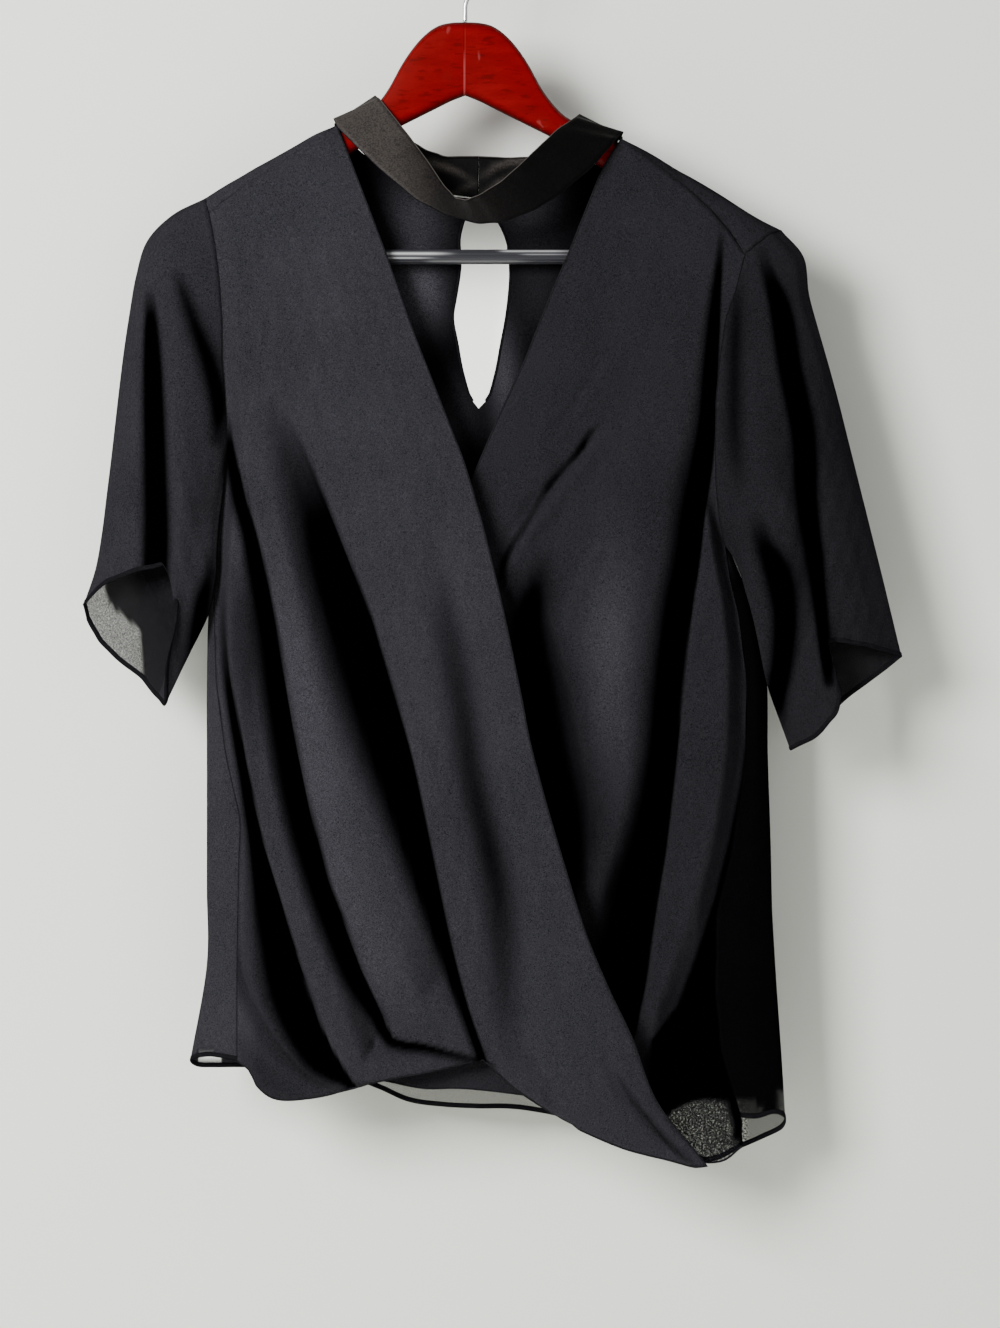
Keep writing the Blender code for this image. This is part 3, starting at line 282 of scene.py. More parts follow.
# hem of the right sleeve: share of the way from outer to inner edge, x, y, z
SLEEVE_HEM_FRONT_R = (
    (0.0, -257, 0, -453), (0.12, -244, -10, -440), (0.3, -221, -15, -431), (0.5, -197, -17, -427),
    (0.62, -192, -24, -452), (0.76, -194, -25, -471), (0.9, -200, -18, -494), (1.0, -202, -5, -521),
)
SLEEVE_HEM_BACK_R = (
    (0.0, -257, 0, -453), (0.15, -255, 8, -465), (0.35, -247, 12, -479), (0.55, -234, 13, -492),
    (0.75, -220, 12, -502), (0.9, -211, 6, -513), (1.0, -202, -5, -521),
)
# the same four tables for the left sleeve
SLEEVE_OUT_L = (
    (213, 0, -201), (220, 0, -204), (227, 0, -212), (232, 0, -247), (249, 0, -306), (265, 0, -370),
    (281, 0, -434), (294, 0, -488),
)
SLEEVE_IN_L = (
    (175, -6, -413), (183.5, -12, -427), (187, -17, -441), (191.5, -19, -457), (195.5, -20, -474),
    (198.5, -19, -490), (203, -14.5, -509), (219, -5, -551),
)
SLEEVE_HEM_FRONT_L = (
    (0.0, 294, 0, -488), (0.15, 272, -11, -482), (0.33, 250, -15, -478), (0.45, 242, -18, -479),
    (0.58, 250, -26, -510), (0.68, 250, -26, -524), (0.85, 236, -18, -542), (1.0, 219, -5, -551),
)
SLEEVE_HEM_BACK_L = (
    (0.0, 294, 0, -488), (0.2, 284, 9, -497), (0.5, 256, 13, -518), (0.8, 238, 9, -538),
    (1.0, 219, -5, -551),
)
# folds along the right sleeve: share across at the armhole, at the hem, half width, height
SLEEVE_FOLDS_R = (
    (0.12, 0.2, 0.1, 3.0), (0.3, 0.42, 0.08, -5.0), (0.62, 0.66, 0.14, 5.0),
)
SLEEVE_FOLDS_L = (
    (0.1, 0.2, 0.1, 3.0), (0.3, 0.42, 0.08, -5.0), (0.55, 0.62, 0.14, 6.0),
)

# section of a button from its stem to its domed face: radius, y
BUTTON_PROFILE = (
    (1.2, 16.0), (1.2, 17.7), (3.4, 17.8), (4.0, 18.6), (3.6, 19.8), (2.0, 20.5), (0.6, 20.7),
)
# one thread loop from the slit's other side round the stem: x, z from the button's centre
LOOP_LINE = (
    (3, 1.4), (7.5, 2.1), (11, 2.6), (14, 2.4), (15.8, 1.3), (16.2, 0), (15.8, -1.3), (14, -2.4),
    (11, -2.6), (7.5, -2.1), (3, -1.4),
)

# centre line of the hook: x, z
HOOK_LINE = (
    (0, -60.1), (0, -54), (0.3, -48.5), (2.6, -43.2), (8, -38.4), (13.9, -31.9), (18.2, -25.5),
    (19.7, -18), (18.2, -10.5), (13.9, -4.1), (7.5, 0.2), (0, 1.7), (-7.5, 0.2), (-13.9, -4.1),
    (-18.2, -10.5), (-19.7, -18), (-18.6, -24.4),
)

# shade beside the folds: x, z, darkness, reach to the left of the line
SHADE_0 = (
    (-149, -602, 0, 6), (-152, -650, 0.2, 6), (-149, -700, 0.3, 7), (-138, -725, 0.3, 9),
    (-122, -750, 0.3, 9), (-100, -771, 0.2, 7), (-80, -777, 0, 6),
)
SHADE_1 = (
    (-160, -440, 0, 5), (-158, -487, 0.6, 6), (-142, -574, 1, 9), (-134, -612, 1, 12),
    (-122, -652, 1, 21), (-113, -681, 1, 26), (-107, -705, 1, 28), (-97, -733, 1, 26),
    (-82, -760, 1, 18), (-75, -771, 0.8, 8),
)
SHADE_2 = (
    (-158, -322, 0, 5), (-155.5, -345, 0.8, 8), (-151, -363, 1, 9), (-146.5, -383, 1, 9),
    (-139.5, -405, 1, 10), (-134, -427, 1, 12), (-124, -478, 1, 14), (-115, -531, 1, 16),
    (-100, -602, 1, 17), (-78, -671, 1, 16), (-66, -703, 1, 14), (-54, -728, 1, 10),
    (-48, -742, 0.9, 8), (-28, -746, 0.8, 7), (15, -757, 0.5, 6),
)
SHADE_3 = (
    (-126, -310, 0, 18), (-110, -343, 0.35, 20), (-94, -381, 0.7, 25), (-82, -412, 0.9, 30),
    (-66, -452, 1, 34), (-38, -543, 1, 33), (-25, -600, 1, 25), (-11, -668, 1, 14),
    (-3, -703, 1, 9), (15, -759, 0.9, 6),
)
SHADE_4 = (
    (-16, -425, 0, 6), (-12.7, -456, 0.3, 8), (-3, -506, 0.48, 10), (6, -568, 0.55, 10),
    (15.4, -609, 0.62, 10), (22, -640, 0.6, 11), (26, -671, 0.5, 11), (29, -712, 0.3, 11),
    (34, -745, 0, 10),
)
SHADE_5 = (
    (51, -412, 0, 8), (50, -432, 0.5, 10), (46, -447, 0.85, 12), (43, -462, 1, 14),
    (43, -480, 1, 18), (46, -510, 1, 23), (52, -551, 1, 26), (64, -600, 1, 24), (67, -625, 1, 19),
    (66, -645, 1, 12), (72, -662, 0.9, 5), (77, -672, 0, 3),
)
SHADE_6 = (
    (173, -198, 0, 3), (173, -212, 0.5, 4), (171.5, -250, 0.85, 8), (169.5, -295, 1, 11),
    (168, -332, 1, 13), (165, -366, 1, 17), (161, -390, 1, 18), (157, -424, 1, 19),
    (152, -455, 1, 21), (145, -511, 1, 21), (141, -561, 1, 22), (135, -611, 1, 27),
    (127, -661, 1, 36), (122, -698, 1, 40), (114, -742, 1, 42),
)
# right side of the last fold of the under panel: z, x
FOLD_6_RIGHT = (
    (-380, 172), (-410, 174), (-443, 184), (-487, 188), (-531, 189), (-571, 184), (-611, 176),
    (-651, 166), (-688, 154), (-722, 141), (-745, 124),
)
# shaded side of the first fold, and the brighter crests of both fronts: x, z, amount, half width
SHADE_FIRST = (
    (-150, -415, 0, 10), (-148, -464, 0.4, 10), (-143, -520, 0.3, 10), (-138, -560, 0, 10),
)
SHADE_LOBE = (
    (-148, -735, 0, 10), (-141, -760, 0.3, 14), (-126, -775, 0.32, 14), (-105, -781, 0.2, 10),
    (-88, -782, 0, 8),
)
LIGHT_OVER = (
    (-135, -380, 0, 20), (-120, -450, 0.25, 20), (-105, -530, 0.45, 18), (-90, -600, 0.45, 18),
    (-60, -690, 0.3, 16), (-30, -735, 0, 12),
)
LIGHT_UNDER = (
    (112, -380, 0, 18), (101, -430, 0.5, 20), (97, -464, 0.9, 20), (98, -520, 0.8, 18),
    (100, -560, 0.4, 14), (100, -600, 0, 10),
)
# troughs of the sleeves: x, z, darkness, half width
SHADE_SLEEVE_R = (
    (-212.4, -239, 0, 3), (-211, -256, 0.7, 4.5), (-209.7, -285, 1, 6.5), (-208.4, -323, 1, 8),
    (-207, -367, 1, 9), (-206.4, -410, 1, 10), (-207, -430, 1, 10), (-206, -455, 0.9, 9),
)
SHADE_SLEEVE_R2 = (
    (-195, -226, 0, 3), (-192, -235, 0.4, 4), (-181, -266, 0.75, 6.5), (-170, -296, 0.85, 8),
    (-165, -323, 0.9, 7), (-167, -343, 0.5, 5),
)
SHADE_SLEEVE_L = (
    (198, -211, 0, 3), (203, -229, 0.6, 5), (210.4, -250, 1, 7.5), (218, -295, 1, 9),
    (226.8, -340, 1, 9.3), (229, -385, 1, 8.5), (235, -430, 1, 6.5), (238, -460, 1, 5),
    (240.5, -484, 1, 4.5), (243, -505, 0.7, 4),
)
SHADE_SLEEVE_L2 = (
    (184, -222, 0, 4), (182, -260, 0.55, 5), (180.5, -300, 0.6, 6), (181, -350, 0.45, 6),
    (184, -385, 0, 6),
)
SHADE_SLEEVE_R3 = (
    (-169.5, -412, 0, 4), (-170, -428, 0.5, 5), (-175, -450, 0.9, 7), (-181, -477, 0.9, 6),
    (-189, -497, 0.3, 4),
)
SHADE_SLEEVE_L3 = (
    (193, -390, 0, 5), (199, -412, 0.7, 7), (208, -430, 1, 10), (213.7, -460, 1, 9.5),
    (212.4, -489, 1, 8.5), (209, -519, 0.9, 7), (213, -541, 0, 4),
)
# edge of the single layer seen inside the right sleeve's hem: z, x
INSIDE_HEM_R = (
    (-442, -243), (-452, -240), (-460, -231), (-470, -219), (-500, -217), (-520, -216),
)
# shade beside the long diagonal crease of the under panel: x, z, darkness, reach
SHADE_DIAGONAL = (
    (91.5, -331, 0, 3), (85, -339, 0.6, 4), (79.5, -350, 0.8, 5), (70.8, -359, 0.55, 4),
    (57, -376, 0.7, 5), (52, -383, 0.45, 4), (42, -401, 0.4, 4), (34.5, -412, 0.55, 4),
    (28.8, -421, 0.7, 4), (26.4, -430, 0.8, 3), (26.4, -440, 0.7, 3), (32, -450, 0.3, 3),
)
# dark line beside the rolled free edge at the strip's lower end: x, z, darkness, half width
SHADE_ROLL = (
    (98, -760, 0, 2), (105.6, -773, 0.35, 2.2), (113.6, -786, 0.5, 2.4), (122.6, -797, 0.5, 2.6),
    (131.7, -808, 0.6, 2.6), (143, -819, 0.5, 2.2), (154, -827, 0.2, 2),
)
# upper limit of the sheer patch at the under panel's lower right corner: x, -z
PATCH_TOP = (
    (130, 800), (134, 796), (143, 790), (154, 785.6), (162, 785), (174, 786.2), (190, 788),
)
# light seen on the back inside the neckline: x, z, half width, half height, strength
NECK_LIGHTS = (
    (-34, -190, 24, 26, 0.95), (-33, -243, 17, 27, 2.1), (46, -192, 25, 22, 0.8),
    (49, -240, 18, 32, 0.4), (26, -300, 10, 36, 1.4), (-6, -330, 14, 28, 0.9),
)
# soft folds down the back as seen from behind: x, z, depth of shade, half width
BACK_SHADES = (
    ((-108, -330, 0, 5), (-104, -450, 0.55, 7), (-96, -600, 0.6, 7), (-90, -745, 0.3, 6)),
    ((-34, -390, 0, 4), (-38, -500, 0.4, 6), (-31, -650, 0.55, 6), (-27, -775, 0.3, 5)),
    ((52, -350, 0, 5), (60, -480, 0.5, 6), (57, -620, 0.6, 8), (66, -780, 0.3, 6)),
    ((120, -370, 0, 5), (131, -520, 0.55, 7), (139, -660, 0.6, 6), (136, -800, 0.3, 6)),
    ((10, -330, 0, 4), (13, -400, 0.35, 5), (16, -520, 0.2, 5), (15, -600, 0, 4)),
)
# painted sheen along the gathers of the satin on the back of the band: x, z, strength, half width
BAND_STREAKS = (
    ((-31, -150, 0.2, 2), (-18, -155, 1, 2.6), (-4, -160, 0.7, 2.2), (5, -166, 0.1, 2)),
    ((-12, -176, 0.2, 2), (-6, -172, 0.7, 2.2), (4, -168, 0.5, 2)),
    ((13, -163, 0.2, 2), (22, -155, 0.8, 2.4), (36, -152.5, 0.9, 2), (50, -151, 0.3, 2)),
    ((14, -174, 0.2, 2), (24, -167, 0.8, 2.4), (36, -161, 0.5, 2), (44, -158, 0, 2)),
)
# painted highlight streaks along the bar: angle above its front, first x, last x, half angle,
# strength
BAR_HIGHLIGHTS = (
    (24, -70, -4, 13, 1.0), (-14, -70, -16, 6, 0.8), (52, 20, 78, 14, 0.9), (14, 34, 78, 5, 0.4),
    (-45, -30, 50, 16, 0.18),
)
# fine creases: x, z, height, half width
CREASES_OVER = (
    ((-105, -300, 0, 2), (-80, -302, 0.5, 2.2), (-45, -306, 0.5, 2.2), (-18, -310, 0, 2)),
    ((-96, -322, 0, 2), (-60, -318, 0.4, 2), (-20, -327, 0.4, 2), (-6, -334, 0, 2)),
    ((95, -735, 0, 3), (104, -770, 1.6, 3.2), (124, -795, 1.8, 3.2), (144, -823, 0.6, 3)),
    ((-140, -640, 0, 2), (-118, -690, 0.9, 2.4), (-96, -730, 0.9, 2.4), (-80, -752, 0, 2)),
)
# the same on the under panel
CREASES_UNDER = (
    ((92, -338, 0, 4), (76, -357, 2.0, 4.5), (57, -380, 3.0, 5), (37, -407, 3.2, 5),
     (25, -430, 2, 4)),
    ((120, -262, 0, 3), (96, -290, 0.6, 3), (70, -330, 0.7, 3), (54, -350, 0, 3)),
    ((100, -395, 0, 3), (84, -420, 0.9, 3.5), (70, -452, 0.9, 3.5), (62, -480, 0, 3)),
)


def hermite(at, values, wanted):
    """Smooth curve through values: cubic pieces whose slopes are the central differences."""
    at = np.asarray(at, dtype=float)
    values = np.asarray(values, dtype=float)
    slope = np.gradient(values, at, axis=0)
    k = np.clip(np.searchsorted(at, wanted, side="right") - 1, 0, len(at) - 2)
    shape = (-1,) + (1,) * (values.ndim - 1)
    width = (at[k + 1] - at[k]).reshape(shape)
    t = (np.asarray(wanted, dtype=float) - at[k]).reshape(shape) / width
    return (
        (2 * t**3 - 3 * t**2 + 1) * values[k]
        + (t**3 - 2 * t**2 + t) * width * slope[k]
        + (3 * t**2 - 2 * t**3) * values[k + 1]
        + (t**3 - t**2) * width * slope[k + 1]
    )


def lengths(points):
    """Distance along a line of points."""
    steps = np.linalg.norm(np.diff(points, axis=0), axis=1)
    return np.concatenate([[0.0], np.cumsum(steps)])


def curve(line, step):
    """Points about one step apart on the smooth curve through a line of points."""
    line = np.asarray(line, dtype=float)
    along = lengths(line[:, :2])
    count = max(2, int(along[-1] / step) + 1)
    return hermite(along, line, np.linspace(0.0, along[-1], count))


def refine(grid, row_at, column_at, closed=False, straight=False):
    """A finer grid: the smooth surface through a grid at fractional row and column numbers.

    closed joins the last column to the first; straight keeps straight steps between columns.
    """
    fine = hermite(np.arange(len(grid)), grid, row_at).swapaxes(0, 1)
    if straight:
        k = np.clip(column_at.astype(int), 0, len(fine) - 2)
        share = (column_at - k)[:, None, None]
        return (fine[k] * (1 - share) + fine[k + 1] * share).swapaxes(0, 1)
    if closed:
        fine = np.concatenate([fine[-3:], fine, fine[:3]])
        column_at = column_at + 3
    return hermite(np.arange(len(fine)), fine, column_at).swapaxes(0, 1)


def beside(line, x, z):
    """Signed distance from the smooth curve of a line, and the two values carried along it.

    The line runs downwards; right of it or above it is positive.  Each row is x, z, value, value.
    """
    line = curve(line, 9.0)
    best = np.full(np.shape(x), 1e9)
    sign = np.ones(np.shape(x))
    first = np.zeros(np.shape(x))
    second = np.zeros(np.shape(x))
    for start, end in zip(line[:-1], line[1:]):
        step = end[:2] - start[:2]
        share = ((x - start[0]) * step[0] + (z - start[1]) * step[1]) / step.dot(step)
        share = np.clip(share, 0, 1)
        away = np.hypot(x - start[0] - share * step[0], z - start[1] - share * step[1])
        nearer = away < best
        best = np.where(nearer, away, best)
        side = np.sign(step[0] * (z - start[1]) - step[1] * (x - start[0]))
        sign = np.where(nearer, side, sign)
        first = np.where(nearer, start[2] + share * (end[2] - start[2]), first)
        second = np.where(nearer, start[3] + share * (end[3] - start[3]), second)
    return sign * best, first, second


def smooth(value, low, high):
    """0 below low, 1 above high, with a soft step between."""
    share = np.clip((value - low) / (high - low), 0.0, 1.0)
    return share * share * (3.0 - 2.0 * share)


def resample(line, count):
    """Points at even distances along a line of points, ends kept."""
    line = np.asarray(line, dtype=float)
    along = lengths(line)
    wanted = np.linspace(0.0, along[-1], count)
    return np.stack([np.interp(wanted, along, line[:, k]) for k in range(line.shape[1])], axis=1)


def halve(line):
    """The same line with the middle of each step added."""
    line = np.asarray(line, dtype=float)
    out = np.empty((2 * len(line) - 1, line.shape[1]))
    out[0::2] = line
    out[1::2] = 0.5 * (line[:-1] + line[1:])
    return out


def fold_height(line, x, z, lip):
    """Height of a draped fold: a quick rise at its line, a crown, then a long fall."""
    away, height, crown = beside(line, x, z)
    rise = smooth(away, -lip, 0.0)
    fall = 1.0 - smooth(away, 0.7 * crown, 1.5 * crown + 6.0)
    return height * rise * fall


def along(line, x, z, power=2):
    """Depth or darkness of a soft trough: full on its line and fading to both sides."""
    away, depth, half = beside(line, x, z)
    return depth * np.exp(-(np.abs(away / half) ** power))


def down_table(table, z_column, column, z):
    """A column of a table at height z; the table's own heights run downwards."""
    table = np.asarray(table, dtype=float)
    return np.interp(-np.asarray(z), -table[:, z_column], table[:, column])


def over_depth(x, z, lip):
    """Distance of the over panel in front of the hanger's plane, as -Y."""
    rest = SHOULDER_Y + (OVER_Y - SHOULDER_Y) * smooth(-z, 130.0, 330.0)
    folds = np.max([fold_height(line, x, z, lip) for line in (SWAG_0, SWAG_1, SWAG_2)], axis=0)
    height = down_table(STRIP[:-2], 1, 2, z)
    strip = height * smooth(beside(STRIP, x, z)[0], -lip, 0.0)
    return rest - np.maximum(folds, strip) + along(STRIP_TROUGH, x, z)


def under_depth(x, z, lip):
    """Distance of the under panel in front of the hanger's plane, as -Y."""
    rest = SHOULDER_Y + (UNDER_Y - SHOULDER_Y) * smooth(-z, 130.0, 260.0)
    shown = smooth(x - down_table(OVER_LINES, 0, 6, z), 4.0, 24.0)
    folds = fold_height(UNDER_RIDGE_5, x, z, 3.0 * lip)
    folds = np.maximum(folds, fold_height(UNDER_RIDGE_6, x, z, lip))
    return rest - folds * shown + along(UNDER_TROUGH, x, z)


def spread(knots, spans):
    """Places between the knots of a row, with the given number of steps in each span."""
    pieces = []
    for k, steps in enumerate(spans):
        part = np.linspace(0.0, 1.0, steps + 1)[:-1]
        pieces.append(knots[..., k : k + 1] * (1 - part) + knots[..., k + 1 : k + 2] * part)
    pieces.append(knots[..., -1:])
    return np.concatenate(pieces, axis=-1)


def wood_top(x):
    """Height of the hanger's upper edge at x."""
    table = np.asarray(WOOD, dtype=float)
    return np.interp(np.abs(x), table[:, 0], table[:, 1])


def shoulder_line(shoulder):
    """Seven points of a shoulder seam, armhole to neck."""
    return resample([(x, SHOULDER_Y, z) for x, z in shoulder], 7)


def front_grid(arm, side, shoulder, seam_at, first_z, last_z, ends, spans, knots_at, low,
               depth_at, soft, lip):
    """Coarse grid of a draped front: rows from shoulder to lower edge.

    A row joins the knots that knots_at gives for its heights, with spans steps between them.
    seam_at is the column of the side seam, 0 or -1.  Near the shoulder the steps are even, the
    last rows are drawn to the hem low, and the depth fades in over soft from the seam.
    """
    seam = halve(np.concatenate([arm, side]))
    top = shoulder_line(shoulder)
    top[0] = seam[0]
    top = halve(halve(top))
    if seam_at:
        top = top[::-1]
    rows, columns = len(seam), len(top)
    starts = np.interp(np.linspace(0, columns - 1, len(ends)), np.arange(columns), top[:, 2])
    even_share = (top[:, 0] - top[0, 0]) / (top[-1, 0] - top[0, 0])
    grid = np.zeros((rows, columns, 3))
    for r, level in enumerate((seam[:, 2] - first_z) / (last_z - first_z)):
        z = starts + (np.array(ends) - starts) * level
        z[seam_at] = seam[r, 2]
        line = knots_at(z)
        line[seam_at] = seam[r, 0]
        fade = smooth(level, 0.0, 0.35)
        even = line[0] + (line[-1] - line[0]) * even_share
        even_z = z[0] + (z[-1] - z[0]) * np.linspace(0, 1, columns)
        grid[r, :, 0] = even + (spread(line, spans) - even) * fade
        grid[r, :, 2] = even_z + (spread(z, spans) - even_z) * fade
    grid[0] = top
    low = np.asarray(low, dtype=float)
    drop = np.interp(grid[-1, :, 0], low[:, 0], low[:, 1]) - grid[-1, :, 2]
    grid[:, :, 2] += drop[None, :] * (np.linspace(0.0, 1.0, rows)[:, None] ** 6)
    fade_in(grid, seam[:, None], depth_at(grid[..., 0], grid[..., 2], lip), seam_at, soft)
    grid[0] = top
    grid[:, seam_at] = seam
    return grid


def fade_in(grid, seam, depth, seam_at, soft):
    """Give a front its depth, which fades in over a distance soft from its side seam."""
    inwards = (grid[..., 0] - seam[..., 0]) * (-1.0 if seam_at else 1.0)
    grid[..., 1] = seam[..., 1] + (depth - seam[..., 1]) * smooth(inwards, 1.0, soft)


def over_panel_grid(lip):
    """Grid of the over panel, columns from side seam to free edge."""
    table = np.asarray(OVER_LINES, dtype=float)
    edge = np.concatenate([OVER_EDGE, table[1:][:, [0, 6]]])
    undercut = np.array([0, 1, 0, 1, 0, 1, 0, 0, 0]) * (lip + 0.5)

    def knots_at(z):
        line = [down_table(table, 0, j, z[k]) for k, j in enumerate((1, 2, 2, 3, 3, 4, 4, 5))]
        return np.array(line + [down_table(edge, 0, 1, z[8])]) - undercut

    ends = (-760.0, -760.0, -777.0, -765.0, -771.0, -759.0, -759.0, -809.0, -828.0)
    return front_grid(ARM_FRONT_R, [row[:3] for row in SIDE_R[1:]], SHOULDER_R, 0, -190.0, -759.0,
                      ends, (5, 1, 4, 1, 4, 1, 4, 4), knots_at, OVER_HEM, over_depth, 12.0, lip)


def under_panel_grid(lip):
    """Grid of the under panel, columns from free edge to side seam."""
    table = np.asarray(UNDER_LINES, dtype=float)
    edge = np.concatenate([UNDER_EDGE[:-1], table[:, :2]])

    def knots_at(z):
        line = [down_table(edge, 0, 1, z[0])]
        return np.array(line + [down_table(table, 0, k + 1, z[k]) for k in range(1, 6)])

    return front_grid(ARM_FRONT_L, [row[:3] for row in SIDE_L[1:]] + [SIDE_L_VENT], SHOULDER_L, -1,
                      -218.0, -816.0, (-768.0, -781.0, -785.0, -806.0, -817.0, -816.0),
                      (7, 5, 4, 5, 3), knots_at, UNDER_HEM, under_depth, 14.0, lip)


def back_path(top, arm_shift, inner):
    """First seven points of a column of the back: from the seam over the shoulder and down."""
    if inner == 1:
        y = np.array([top[1], -6, -2.2, 2.3, 6.3, 9.2, 11.5])
        z = top[2] - np.array([0, -0.2, 0, 0.6, 4, 9, 17])
        return np.stack([np.full(7, top[0]), y, z], axis=1)
    if inner:
        share = np.array([0, 0.15, 0.33, 0.54, 0.72, 0.86, 1.0])
        y = top[1] + (max(12.0, top[1] + 0.3) - top[1]) * share
        z = top[2] - np.array([0, 1, 2, 3.5, 5.5, 9, 16.0])
        x = np.full(7, top[0])
        return np.stack([x, y, z], axis=1)
    x = top[0] + arm_shift
    centre = wood_top(x) - WOOD_HALF + WOOD_LIFT
    start = np.array([top[1], top[2] - centre[0]])
    if start[1] < 0.0:
        turn = np.radians([180, 180, 135, 90, 45, 0])
        radius = np.full(6, WRAP_RADIUS)
    else:
        turn = np.arctan2(start[1], start[0]) * np.linspace(1.0, 0.0, 6)
        radius = np.hypot(*start) + (WRAP_RADIUS - np.hypot(*start)) * np.linspace(0, 1, 6)
    y = np.concatenate([radius * np.cos(turn), [11.0]])
    z = np.concatenate([centre[:6] + radius * np.sin(turn), [centre[6] - 12.0]])
    y[0] = top[1]
    z[0] = top[2]
    return np.stack([x, y, z], axis=1)


def back_half_grid(arm, side, shoulder, neck, hem, key_column):
    """Half of the back: rows from shoulder and neckline to the hem, columns from the side in."""
    edge = np.concatenate([arm, [row[:3] for row in side[1:]]]).astype(float)
    fold = np.concatenate([np.asarray(arm, dtype=float)[:, 0], [row[3] for row in side[1:]]])
    tops = np.concatenate([shoulder_line(shoulder), neck[1:]])
    tops[0] = edge[0]
    hem = np.asarray(hem, dtype=float)
    rows = len(edge)
    columns = len(tops)
    key = np.asarray(KEYHOLE, dtype=float)
    mirror = np.sign(edge[0, 0])
    fan = np.array([1.0, 0.65, 0.35, 0.12] + [0.0] * (columns - 4))
    heads = []
    for c in range(columns):
        shift = (edge[:7, 0] - edge[0, 0]) * fan[c]
        heads.append(back_path(tops[c], shift, max(0, c - 5)))
    heads = np.stack(heads, axis=1)
    heads[:, 0] = edge[:7]
    open_x = np.interp(-heads[1:, -1, 2], -key[:, 0], key[:, key_column])
    shares = np.clip((np.arange(columns) - 6) / (columns - 7.0), 0, 1) ** 2
    heads[1:, :, 0] += (open_x - heads[1:, -1, 0])[:, None] * shares
    across = np.linspace(0.0, 1.0, columns)
    fall_side = (edge[6, 2] - edge[6:, 2]) / (edge[6, 2] - edge[-1, 2])
    fall_mid = np.linspace(0.0, 1.0, rows - 6)
    grid = np.zeros((rows, columns, 3))
    grid[:7] = heads
    start_share = (heads[6, :, 0] - edge[6, 0]) / (heads[6, -1, 0] - edge[6, 0])
    for r in range(7, rows):
        k = r - 6
        fall = fall_side[k] + (fall_mid[k] - fall_side[k]) * across
        z = heads[6, :, 2] + (hem[:, 1] - heads[6, :, 2]) * fall
        z[0] = edge[r, 2]
        centre = KEYHOLE_X
        if z[-1] > key[-1, 0] + 8.0:
            centre = np.interp(-z[-1], -key[:, 0], key[:, key_column])
        elif z[-1] > key[-1, 0] - 12.0:
            z[-1] = key[-1, 0]
        even = start_share + (across - start_share) * smooth(r, 6, 11)
        x_open = edge[r, 0] + (centre - edge[r, 0]) * even
        y_open = BACK_Y + (edge[r, 1] - BACK_Y) * (1 - smooth(across, 0.0, 0.25))
        tip = fold[r]
        inner = np.linspace(tip - mirror * 13.0, centre, columns - 5)
        turn = np.radians([0, 38, 68, 90])
        arc_x = edge[r, 0] + (tip - edge[r, 0]) * np.sin(turn)
        x_shut = np.concatenate([arc_x, [tip - mirror * 2.5], inner])
        y_shut = np.full(columns, BACK_Y)
        y_shut[:4] = 0.5 + (edge[r, 1] - 0.5) * np.cos(turn)
        y_shut[4] = 8.0
        shut = smooth(r, 8, 13)
        grid[r, :, 0] = x_open + (x_shut - x_open) * shut
        grid[r, :, 1] = y_open + (y_shut - y_open) * shut
        grid[r, :, 2] = z
    last = grid[-1, :, 0].copy()
    share = (np.arange(rows) / (rows - 1.0)) ** 5
    grid[:, :, 0] += (hem[:, 0] - last)[None, :] * share[:, None]
    x = grid[:, :, 0]
    z = grid[:, :, 2]
    inside = smooth(np.minimum(np.abs(x - edge[:, None, 0]), 60.0), 14.0, 34.0)
    for x_top, x_hem, half, height in BACK_FOLDS:
        down = np.clip((-z - 200.0) / 600.0, 0.0, 1.0)
        middle = x_top + (x_hem - x_top) * down
        grid[:, :, 1] += height * np.exp(-(((x - middle) / half) ** 2)) * down * inside
    grid[:, 0] = edge
    return grid


def sleeve_grid(arm_front, arm_back, out_line, in_line, hem_front, hem_back, folds, rings):
    """Rings of a sleeve from its armhole to its hem, outer edge first, then round the front."""
    front = np.concatenate([np.asarray(arm_back[3:0:-1], dtype=float), arm_front])
    back = np.asarray(arm_back[3:], dtype=float)
    front = halve(front)
    back = halve(back)
    outer = resample(out_line, rings)
    inner = resample(in_line, rings)
    ring_list = []
    for line, hem, facing in ((front, hem_front, -1.0), (back, hem_back, 1.0)):
        a = lengths(line) / lengths(line)[-1]
        table = np.asarray(hem, dtype=float)
        hem_line = np.stack([np.interp(a, table[:, 0], table[:, k]) for k in (1, 2, 3)], axis=1)
        bulge = np.sin(np.pi * a) ** 0.7
        half = []
        for j in range(rings):
            t = j / (rings - 1.0)
            flat = outer[j] + (inner[j] - outer[j]) * a[:, None]
            flat[:, 1] += facing * (10.0 + 4.0 * np.sin(np.pi * t)) * bulge
            for at_top, at_hem, width, height in folds:
                middle = at_top + (at_hem - at_top) * t
                lump = height * np.exp(-(((a - middle) / width) ** 2)) * np.sin(np.pi * a) ** 0.5
                flat[:, 1] += facing * lump * smooth(t, 0.1, 0.6)
            half.append(flat)
        half = np.stack(half)
        t = np.linspace(0.0, 1.0, rings)[:, None, None]
        half = half + (line - half[0])[None] * (1.0 - t) ** 2 + (hem_line - half[-1])[None] * t**4
        half[0] = line
        ring_list.append(half)
    front_half, back_half = ring_list
    return np.concatenate([front_half, back_half[:, -2:0:-1]], axis=1)


